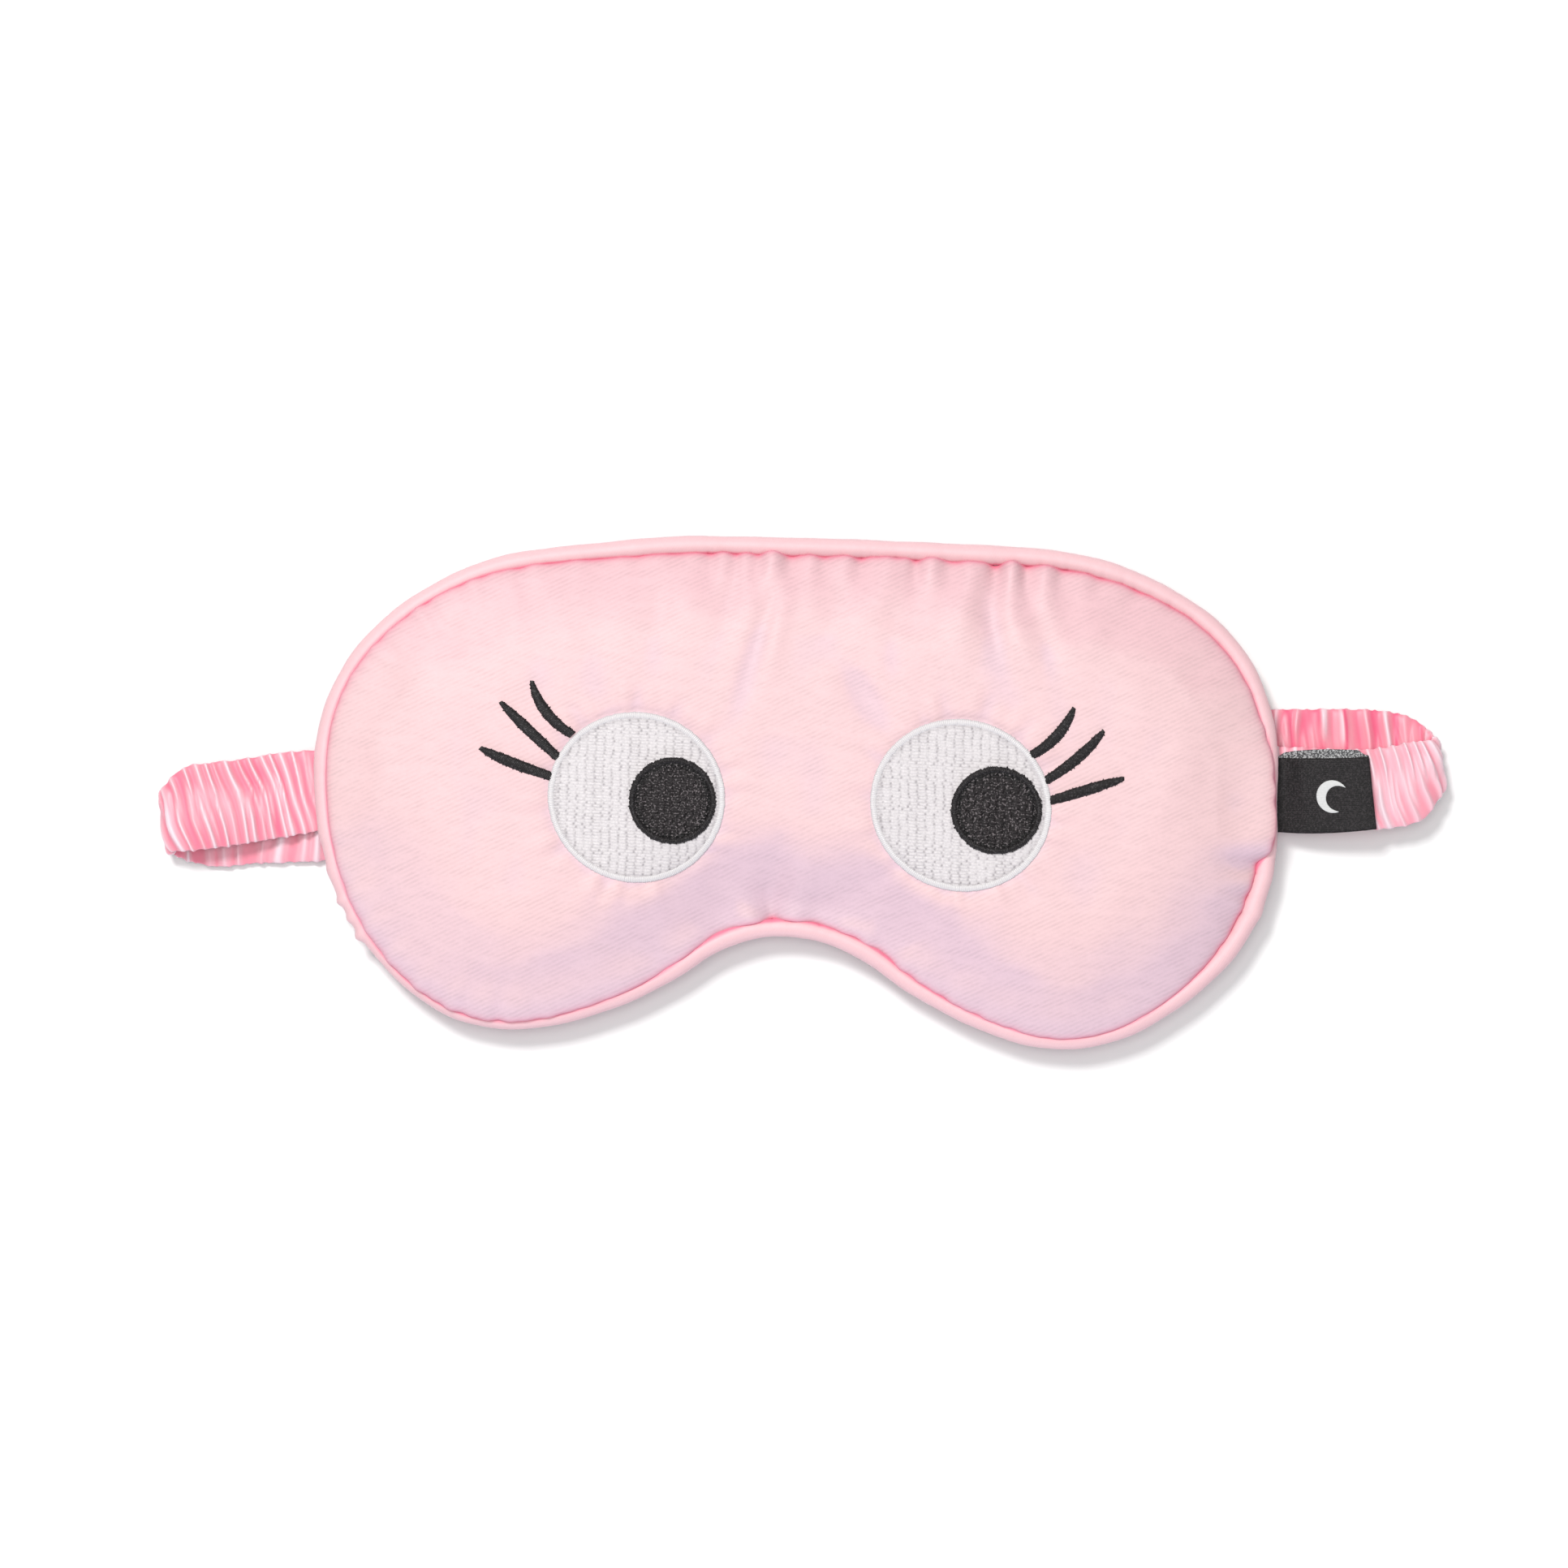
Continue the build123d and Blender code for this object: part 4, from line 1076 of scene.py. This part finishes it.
# ------------------------------------------------------------------ strap
# centre line: x, y, z, half thickness, heading in plan (degrees); outer face is away from the mask
STRAP_KEYS = [
    (95.0, 2.55, 4.9, 0.62, 0), (98.0, 2.6, 4.9, 0.62, 0), (100.8, 2.6, 4.95, 0.75, 0), (103.5, 2.65, 5.2, 1.2, 0), (107.0, 2.65, 5.65, 1.5, 0),
    (112.0, 2.7, 6.3, 1.7, 1), (117.0, 2.8, 7.1, 1.8, 3), (122.0, 3.3, 7.8, 1.85, 6), (126.6, 4.4, 8.15, 1.85, 9),
    (130.7, 6.0, 7.45, 1.85, 11), (132.4, 7.6, 5.0, 1.8, 11), (130.7, 9.1, 2.6, 1.75, 10), (126.8, 10.0, 1.78, 1.72, 8),
    (120.0, 10.9, 1.72, 1.7, 6), (111.0, 11.0, 1.72, 1.7, 5.8), (99.0, 10.65, 1.72, 1.7, 5.8), (80.0, 8.77, 1.72, 1.7, 5.8), (50.0, 5.72, 1.72, 1.7, 5.8),
    (20.0, 2.68, 1.72, 1.7, 5.8), (-20.0, -1.38, 1.72, 1.7, 5.8), (-50.0, -4.42, 1.72, 1.7, 5.8), (-80.0, -7.47, 1.72, 1.7, 5.8), (-99.0, -9.35, 1.72, 1.7, 5.8),
    (-111.0, -10.3, 1.72, 1.7, 5.5), (-119.0, -10.6, 1.72, 1.7, 6), (-125.4, -10.4, 1.78, 1.72, 7),
    (-129.4, -10.0, 2.6, 1.75, 8), (-131.0, -9.3, 5.0, 1.8, 9), (-129.5, -8.5, 7.45, 1.85, 10), (-126.0, -7.9, 8.15, 1.85, 10),
    (-121.0, -7.0, 7.8, 1.85, 10), (-116.0, -5.9, 7.1, 1.8, 9), (-111.0, -4.9, 6.3, 1.7, 8), (-107.0, -4.2, 5.65, 1.5, 7), (-103.5, -3.7, 5.2, 1.2, 5),
    (-100.8, -3.35, 4.95, 0.75, 3), (-98.0, -3.3, 4.9, 0.62, 1), (-95.0, -3.25, 4.9, 0.62, 0)]


def strap_line(step):
    k = np.array(STRAP_KEYS, float)
    q = cubic_along(k, np.linspace(0, len(k) - 1, 6000)[:-1], False)
    q = np.vstack([q, k[-1:]])
    s = np.concatenate([[0], np.cumsum(np.linalg.norm(np.diff(q[:, :3], axis=0), axis=1))])
    n = int(s[-1] / step)
    ss = np.linspace(0, s[-1], n)
    return np.stack([np.interp(ss, s, q[:, c]) for c in range(5)], 1), ss


def strap_frames(c):
    t = np.gradient(c[:, :3], axis=0)
    h = np.radians(c[:, 4])
    w = np.stack([-np.sin(h), np.cos(h), 0 * h], 1)
    t -= w * (t * w).sum(1)[:, None]
    t /= np.linalg.norm(t, axis=1)[:, None]
    for _ in range(8):
        t[1:-1] = 0.25 * t[:-2] + 0.5 * t[1:-1] + 0.25 * t[2:]
    t /= np.linalg.norm(t, axis=1)[:, None]
    return t, w, np.cross(t, w)


def pleat_profile(s, seed, lo=1.4, hi=3.1, thin=0.32, thick=0.75):
    """Gathers along a strap edge: narrow rounded crests between wider hollows, 0 to 1."""
    r = np.random.default_rng(seed)
    h = np.zeros_like(s)
    at = s[0] - 3
    while at < s[-1] + 3:
        w = r.uniform(thin, thick)
        h = np.maximum(h, r.uniform(0.5, 1.0) * np.exp(-np.abs((s - at) / w) ** 1.55))
        at += r.uniform(lo, hi)
    return h


line, SS = strap_line(0.22)
# where it turns back, and how much each edge draws in there
BENDS = [(SS[np.argmax(line[:, 0])], 1.9, 3.4), (SS[np.argmin(line[:, 0])], 3.0, 0.6)]
T, W, NN = strap_frames(line)
fine_s = np.arange(-30, SS[-1] + 30, 0.05)
PROFILES = [pleat_profile(fine_s, 40 + k) for k in range(3)] + [pleat_profile(fine_s, 50 + k, 2.8, 5.6, 0.55, 1.5) for k in range(3)]


def pleats(s, y, side):
    """Pleat height at arc length s and place across the width y (-1 to 1), on one face."""
    lean = 0.5 * np.sin(s / 37.0 + side) + (1.35 if side == 0 else 0.4)
    warp = 0.8 * np.sin(s / 9.0 + 2.2 * y + side * 2) + 0.55 * np.sin(s / 4.1 - 2.9 * y + side)
    q = s + lean * y + warp * 0.55 * (1 - 0.3 * np.abs(y))
    a, b, c = (np.interp(q, fine_s, PROFILES[k + 3 * side]) for k in range(3))
    m = smooth01((y + 0.55 + 0.3 * np.sin(s / 6.5)) / 0.9)
    mix = a * (1 - m) + b * m
    return np.maximum(mix, 0.75 * c * gauss(y - 0.45 * np.sin(s / 5.3), 0.5))


def ribbon(name, mat, half_w, shrink, pleated, sides, grow=1.0):
    n = len(line)
    a = np.arange(sides) / sides * 2 * math.pi
    ca, sa = np.cos(a), np.sin(a)
    ey = np.sign(ca) * np.abs(ca) ** 0.62
    en = np.sign(sa) * np.abs(sa) ** 0.75
    s = np.repeat(SS[:, None], sides, 1)
    y = np.repeat(ey[None], n, 0)
    if pleated:
        hw = np.full((n, sides), half_w)
        edge = 0.5 * (pleats(s, np.sign(y), 0) + pleats(s, np.sign(y), 1))
        hw += 0.6 * (edge - 0.45) + 0.18 * np.sin(s / 7.7 + 2 * np.sign(y))
        # the edges round off where the strap turns back
        for bend, upper, lower in BENDS:
            k = np.exp(-np.abs((s - bend) / 4.9) ** 2.6)
            hw -= k * np.where(y > 0, upper, lower)
        hw += (0.9 * gauss(s - BENDS[1][0] + 11, 6.0) + 0.6 * gauss(s - BENDS[1][0] - 24, 9.0)) * (y < 0)
        hw += 0.9 * gauss(s - BENDS[1][0] - 9, 6.5) * (y > 0)
        root = smooth01((np.minimum(s, SS[-1] - s) - 5.0) / 9.0)
        up = np.where(en >= 0, 1.0, 0.0)[None]
        h = pleats(s, y, 0) * up + pleats(s, y, 1) * (1 - up)
        weight = np.abs(en)[None] ** 0.55
        b = line[:, 3][:, None]
        amp = np.clip(b - 0.55, 0.16, 1.25) * (0.62 + 0.38 * root)
        nn = en[None] * (b - 0.62 * amp) + np.sign(en)[None] * (h - 0.28) * amp * 0.95 * weight
        along = 0.0
        uneven = 0.5 + 0.22 * np.sin(s / 2.9 + 1.3 * y) + 0.22 * np.sin(s / 5.3 - 0.8 * y + 1)
        # painted light on the pleats: shade in the hollows, pale highlight on the crests, a little more shade on the
        # inner face
        painted_shading = 0.5 + (0.50 * np.clip((0.30 - h) / 0.30, 0, 1) ** 1.3 * weight - 0.08) * (0.5 + uneven) - 0.5 * np.clip((h - 0.42) / 0.40, 0, 1) ** 1.3
        painted_shading = np.clip(painted_shading - 0.14 * (1 - uneven) * gauss(y, 0.7) + 0.10 * (1 - up), 0, 1)
        # painted light: the outer turn on the label's side gets less painted shade, its rear run a few lines of painted
        # shade where it folds
        cx = line[:, 0][:, None]
        turn = smooth01((cx - 117.5) / 4.0) * smooth01((BENDS[0][0] + 2.5 - s) / 4.0)
        painted_shading = painted_shading * (1 - 0.45 * turn)
        rear_run = (s > BENDS[0][0] + 2) & (cx > 95)
        for at, w_, shade in ((102.2, 0.5, 0.35), (108.4, 0.8, 0.4), (113.5, 0.42, 0.9), (119.3, 1.2, 0.3), (124.6, 0.45, 0.9)):
            painted_shading = np.clip(painted_shading + rear_run * shade * gauss(cx - at - 0.45 * np.sin(2.0 * y + at), w_), 0, 1)
        # the left rear run lies in the front leg's shadow and gets less painted shade
        painted_shading = np.where((cx < -95) & (s < BENDS[1][0] - 2), painted_shading * 0.72, painted_shading)
    else:
        hw = np.full((n, sides), half_w)
        nn = en[None] * (line[:, 3][:, None] * shrink)
        painted_shading = np.zeros((n, sides))
    p = line[:, None, :3] + W[:, None, :] * (y * hw)[..., None] + NN[:, None, :] * nn[..., None]
    if pleated:
        # it rests on the table, and lies flat under the mask
        p[..., 2] = np.where(p[..., 2] < 0.12, 0.12 - 0.1 * np.tanh((0.12 - p[..., 2]) * 2.0), p[..., 2])
        rear = (np.abs(line[:, 0]) < 97) & (line[:, 2] < 3.0)
        lid = 3.62
        top = p[rear][..., 2]
        p[rear, :, 2] = np.where(top > lid - 0.25, lid - 0.25 + 0.25 * np.tanh((top - lid + 0.25) / 0.5), top)
    v = p.reshape(-1, 3)
    i, k = np.meshgrid(np.arange(n - 1), np.arange(sides), indexing="ij")
    i, k = i.ravel(), k.ravel()
    k2 = (k + 1) % sides
    f = np.stack([i * sides + k, i * sides + k2, (i + 1) * sides + k2, (i + 1) * sides + k], 1)
    caps = [np.arange(sides)[::-1][None], ((n - 1) * sides + np.arange(sides))[None]]
    ob = mesh_object(name, v, [f] + caps, mat, attrs={"fold_shading": painted_shading.ravel()})
    s_v = np.repeat(SS, sides)
    from_end = np.minimum(s_v, SS[-1] - s_v)
    return ob, from_end


def bend_strap(ob):
    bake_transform(ob)


strap_ob, from_end = ribbon("ruched_strap", M_STRAP, 8.45, 1.0, True, 60)
bend_strap(strap_ob)
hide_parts("strap_cover")
elastic_ob, from_end2 = ribbon("elastic_tape", M_ELASTIC, 5.9, 0.22, False, 12)
bend_strap(elastic_ob)
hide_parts("elastic_band")


# ------------------------------------------------------------------ label
def label_material(name, color, grey, inner=False):
    m, nt, p = material(name)
    L = nt.links
    vec = coords(nt)
    waves = []
    for direction, mm in (("X", 0.33), ("Y", 0.42)):
        t = node(nt, "ShaderNodeTexWave", wave_type="BANDS", bands_direction=direction, Scale=2 * math.pi / (20 * mm * 0.001), Distortion=1.2, Detail=1.0)
        L.new(vec, t.inputs["Vector"])
        waves.append(t.outputs["Fac"])
    h = math_node(nt, "MULTIPLY", waves[0], waves[1])
    sp = node(nt, "ShaderNodeTexNoise", Scale=2700.0, Detail=2.0, Roughness=0.7)
    L.new(vec, sp.inputs["Vector"])
    specks = math_node(nt, "MULTIPLY", math_node(nt, "SUBTRACT", sp.outputs["Fac"], 0.46), 6.0, clamp=True)
    f = math_node(nt, "MULTIPLY", math_node(nt, "ADD", math_node(nt, "MULTIPLY", h, 0.5), 0.5), specks, clamp=True)
    c = mix_color(nt, f, color, grey)
    if inner:
        c = mix_color(nt, attribute(nt, "reverse"), c, mix_color(nt, specks, (0.05, 0.05, 0.053), (0.46, 0.46, 0.47)))
    L.new(c, p.inputs["Base Color"])
    b = node(nt, "ShaderNodeBump", Strength=0.6, Distance=0.00008)
    L.new(h, b.inputs["Height"])
    L.new(b.outputs["Normal"], p.inputs["Normal"])
    p.inputs["Roughness"].default_value = 0.6
    p.inputs["Specular IOR Level"].default_value = 0.2
    m.diffuse_color = (*color, 1)
    return m


M_LABEL = label_material("woven_label", (0.008, 0.007, 0.0075), (0.042, 0.036, 0.0385), inner=True)
M_MOTIF = thread("motif_weft", (0.60, 0.60, 0.60), (0.30, 0.30, 0.30), rough=0.5, spec=0.3)

# folded tape: the front leaf out from the seam, the fold, and the back leaf to the seam again
HX, HZ, RISE = 101.2, 6.45, math.radians(11.3)
LABEL_LEN, LABEL_HALF, LABEL_SKEW = 17.4, 7.7, 0.078


def label_point(p, q):
    """Point of the tape's middle surface: p 0..1 front leaf, 1..2 back leaf; q -1..1 across."""
    u = np.where(p <= 1, p, 2 - p)
    x = -5.4 + (LABEL_LEN + 5.4) * u
    open_ = smooth01(u / 0.3) * (1 - smooth01((u - 0.93) / 0.07) * 0.75)
    belly = np.sin(math.pi * np.clip((u - 0.22) / 0.78, 0, 1)) ** 0.8
    front_leaf = p <= 1
    lift = np.where(front_leaf, 0.42 * open_ + 0.55 * belly * (0.75 + 0.25 * q), -0.40 * open_ - 0.05 * belly)
    half = LABEL_HALF * (1.0 - 0.03 * smooth01((u - 0.2) / 0.8))
    y = q * half
    flat_belly = smooth01((u - 0.12) / 0.10) * smooth01((1.0 - u) / 0.09)
    # the leaves don't lie quite on each other: the back one shows above the front one's upper edge
    y = y + np.where(front_leaf, -0.3 * belly * (q < 0) * np.abs(q) - 0.15 * belly, (1.25 * flat_belly + 0.25 * belly) * smooth01((q + 0.2) / 1.2) + 0.2 * belly)
    x = x - LABEL_SKEW * y * smooth01((u - 0.25) / 0.75)
    return x, y, lift


def build_label():
    per_leaf, across = 46, 28
    p = np.concatenate([np.linspace(0, 0.97, per_leaf), 1 + np.linspace(-0.022, 0.022, 7), np.linspace(1.03, 2, per_leaf)])
    q = np.linspace(-1, 1, across)
    P, Q = np.meshgrid(p, q, indexing="ij")
    x, y, lift = label_point(P, Q)
    turn = np.clip((P - 1) / 0.03, -1, 1)
    fold = np.abs(P - 1) <= 0.0301
    # round outer end
    edge_f, edge_b = label_point(np.full_like(P, 0.97), Q), label_point(np.full_like(P, 1.03), Q)
    mid = 0.5 * (1 + np.sin(turn * math.pi / 2))
    lift = np.where(fold, edge_f[2] * (1 - mid) + edge_b[2] * mid, lift)
    y = np.where(fold, edge_f[1] * (1 - mid) + edge_b[1] * mid, y)
    x = np.where(fold, -5.4 + (LABEL_LEN + 5.4) * 0.97 + 0.55 * np.cos(turn * math.pi / 2) + 0.14 - LABEL_SKEW * y, x)
    # the tail lies level in the seam, the flap rises on the strap
    rise = np.where(x > 0, x, x * 0.0)
    z_tail = 5.86 - HZ
    base = np.where(x > 0, z_tail * (1 - smooth01(x / 4.0)), z_tail)
    X = HX + np.where(x > 0, x * math.cos(RISE), x)
    Z = HZ + base + rise * math.sin(RISE) + lift * np.where(x > 0, 1.0, 0.45)
    tilt = math.radians(3.2)
    yc = 1.05
    X2 = HX + (X - HX) - np.where(x > 0, y * math.sin(tilt) * smooth01(x / 3.0), 0)
    Y2 = yc + y + np.where(x > 0, (X - HX) * math.sin(tilt), 0)
    mids = np.stack([X2, Y2, Z], -1)
    du = np.gradient(mids, axis=0)
    dv = np.gradient(mids, axis=1)
    nrm = np.cross(du, dv)
    nrm /= np.linalg.norm(nrm, axis=-1)[..., None]
    t = 0.16
    outer, inner = mids + nrm * t, mids - nrm * t
    n, m = P.shape
    i, j = np.meshgrid(np.arange(n - 1), np.arange(m - 1), indexing="ij")
    i, j = i.ravel(), j.ravel()
    f = np.stack([i * m + j, (i + 1) * m + j, (i + 1) * m + j + 1, i * m + j + 1], 1)
    v, fs = close_sheet(outer.reshape(-1, 3), inner.reshape(-1, 3), f)
    rev = np.concatenate([np.zeros(n * m), np.ones(n * m)])
    return v, fs, rev, outer, p, q


lv, lf, lrev, louter, lp, lq = build_label()
label_ob = mesh_object("woven_label_tape", lv, lf, M_LABEL, attrs={"reverse": lrev})
lab_n = len(lp)


def on_label(u_mm, v_mm):
    """Point on the front leaf's outer face, u along it from the hinge, v across."""
    p = (u_mm + 5.4) / (LABEL_LEN + 5.4)
    a = np.clip(p / 0.97 * 45, 0, 44.999)
    b = np.clip((v_mm / (LABEL_HALF * 0.98) + 1) / 2 * 27, 0, 26.999)
    i, j = np.floor(a).astype(int), np.floor(b).astype(int)
    s, t = (a - i)[..., None], (b - j)[..., None]
    g = louter
    return (g[i, j] * (1 - s) + g[i + 1, j] * s) * (1 - t) + (g[i, j + 1] * (1 - s) + g[i + 1, j + 1] * s) * t


def crescent(cu, cv, r, turn):
    """Plain crescent, thick in its middle, as a raised weft patch."""
    n, m = 70, 14
    th = np.linspace(-2.25, 2.25, n)
    thick = r * 0.60 * np.clip(np.cos(th / 2.25 * math.pi / 2), 0, 1) ** 0.8 + 0.03
    q = np.linspace(0, 1, m)
    rad = r - thick[:, None] * q[None]
    u = cu - rad * np.cos(th + turn)[:, None]
    v = cv + rad * np.sin(th + turn)[:, None]
    h = 0.10 * np.sqrt(np.clip(1 - (2 * q - 1) ** 2, 0, 1))[None] * (0.75 + 0.25 * np.sin(v / 0.34 * 2 * math.pi))
    top = on_label(u, v) + np.array([-math.sin(RISE), 0, math.cos(RISE)]) * (0.05 + h)[..., None]
    low = on_label(u, v) - np.array([-math.sin(RISE), 0, math.cos(RISE)]) * 0.05
    i, j = np.meshgrid(np.arange(n - 1), np.arange(m - 1), indexing="ij")
    i, j = i.ravel(), j.ravel()
    f = np.stack([i * m + j, (i + 1) * m + j, (i + 1) * m + j + 1, i * m + j + 1], 1)
    a = top.reshape(-1, 3)
    k = np.cross(a[f[0, 1]] - a[f[0, 0]], a[f[0, 3]] - a[f[0, 0]])
    if k[2] < 0:
        f = f[:, ::-1]
    v_, fs = close_sheet(a, low.reshape(-1, 3), f)
    return v_, fs, np.tile(0.4 * np.abs(np.sin(v / 0.34 * math.pi)).ravel(), 2)


mv, mf, mp = join([crescent(9.2, -0.3, 3.3, 0.35)])
motif_ob = mesh_object("crescent_weft", mv, mf, M_MOTIF, attrs={"pit": mp})
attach(motif_ob, "label_flap")
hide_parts("label_motif")
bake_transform(label_ob)
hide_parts("label", "label_seam_tail")

# ------------------------------------------------------------------ the rest of the mask
for ob, nodes, sl in ((face_ob, ["front_panel"], "peach_satin"), (back_ob, ["back_lining"], "lining_satin"),
                      (wadding_ob, ["wadding"], "wadding"), (blackout_ob, ["blackout_layer"], "interlining"),
                      (piping_ob, ["piping_cover"], "peach_satin"), (cord_ob, ["piping_cord"], "cord"),
                      (seam_ob, ["seam_thread"], "sewing_thread")):
    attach(ob, "mask")
    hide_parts(*nodes)

for name, mat in (("left_strap_tack", M_SEWING), ("right_strap_tack", M_SEWING)):
    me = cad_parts[name].data
    if len(me.materials) == 0:
        me.materials.append(mat)
    for k in range(len(me.materials)):
        me.materials[k] = mat

# ------------------------------------------------------------------ stage, light, camera
floor_mat, nt, p = material("studio_floor")
nz = node(nt, "ShaderNodeTexNoise", Scale=3.0)
nt.links.new(coords(nt), nz.inputs["Vector"])
nt.links.new(mix_color(nt, nz.outputs["Fac"], (0.785, 0.785, 0.785), (0.795, 0.795, 0.795)), p.inputs["Base Color"])
p.inputs["Roughness"].default_value = 0.9
p.inputs["Specular IOR Level"].default_value = 0.1
me = bpy.data.meshes.new("studio_floor")
me.from_pydata([(-3, -3, 0), (3, -3, 0), (3, 3, 0), (-3, 3, 0)], [], [(0, 1, 2, 3)])
floor = bpy.data.objects.new("studio_floor", me)
me.materials.append(floor_mat)
sc.collection.objects.link(floor)

world = bpy.data.worlds.new("studio")
sc.world = world
world.use_nodes = True
bg = world.node_tree.nodes["Background"]
# a bright tent overhead, dimmer and bluer towards the front edge of the table
wt = world.node_tree
tc = wt.nodes.new("ShaderNodeTexCoord")
xyz = wt.nodes.new("ShaderNodeSeparateXYZ")
wt.links.new(tc.outputs["Generated"], xyz.inputs[0])
up = math_node(wt, "ADD", math_node(wt, "MULTIPLY", xyz.outputs[2], 0.98), 0.14)
f = math_node(wt, "ADD", up, math_node(wt, "MULTIPLY", xyz.outputs[1], 0.20), clamp=True)
wt.links.new(mix_color(wt, f, (0.26, 0.27, 0.33), (0.965, 1.0, 0.965)), bg.inputs["Color"])
bg.inputs["Strength"].default_value = 0.50


def area_light(name, loc, target, size, power, color=(1, 1, 1), size_y=None):
    li = bpy.data.lights.new(name, "AREA")
    li.energy = power
    li.color = color
    li.size = size
    if size_y:
        li.shape = "RECTANGLE"
        li.size_y = size_y
    ob = bpy.data.objects.new(name, li)
    ob.location = loc
    ob.rotation_euler = (Vector(target) - Vector(loc)).to_track_quat("-Z", "Y").to_euler()
    sc.collection.objects.link(ob)
    return ob


area_light("key", (-0.06, 0.06, 1.50), (0, 0, 0), 0.6, 8.2, (1.0, 0.995, 0.98))
area_light("side_key", (-0.38, 0.62, 1.30), (0, 0, 0), 0.30, 16.2, (1.0, 0.995, 0.985))
area_light("low_front", (0.10, -0.95, 0.26), (0, 0, 0.01), 0.9, 4.1, (0.82, 0.86, 1.0), 0.25)

cam_data = bpy.data.cameras.new("camera")
cam_data.lens = 100
cam_data.sensor_width = 36
cam_data.clip_start = 0.01
cam = bpy.data.objects.new("camera", cam_data)
cam.location = (-0.00306, 0.00067, 0.9085)
cam.rotation_euler = (0, 0, math.radians(1.5))
sc.collection.objects.link(cam)
sc.camera = cam
sc.view_settings.view_transform = "Standard"
sc.view_settings.look = "None"
sc.view_settings.exposure = 0.0
sc.view_settings.gamma = 1.0
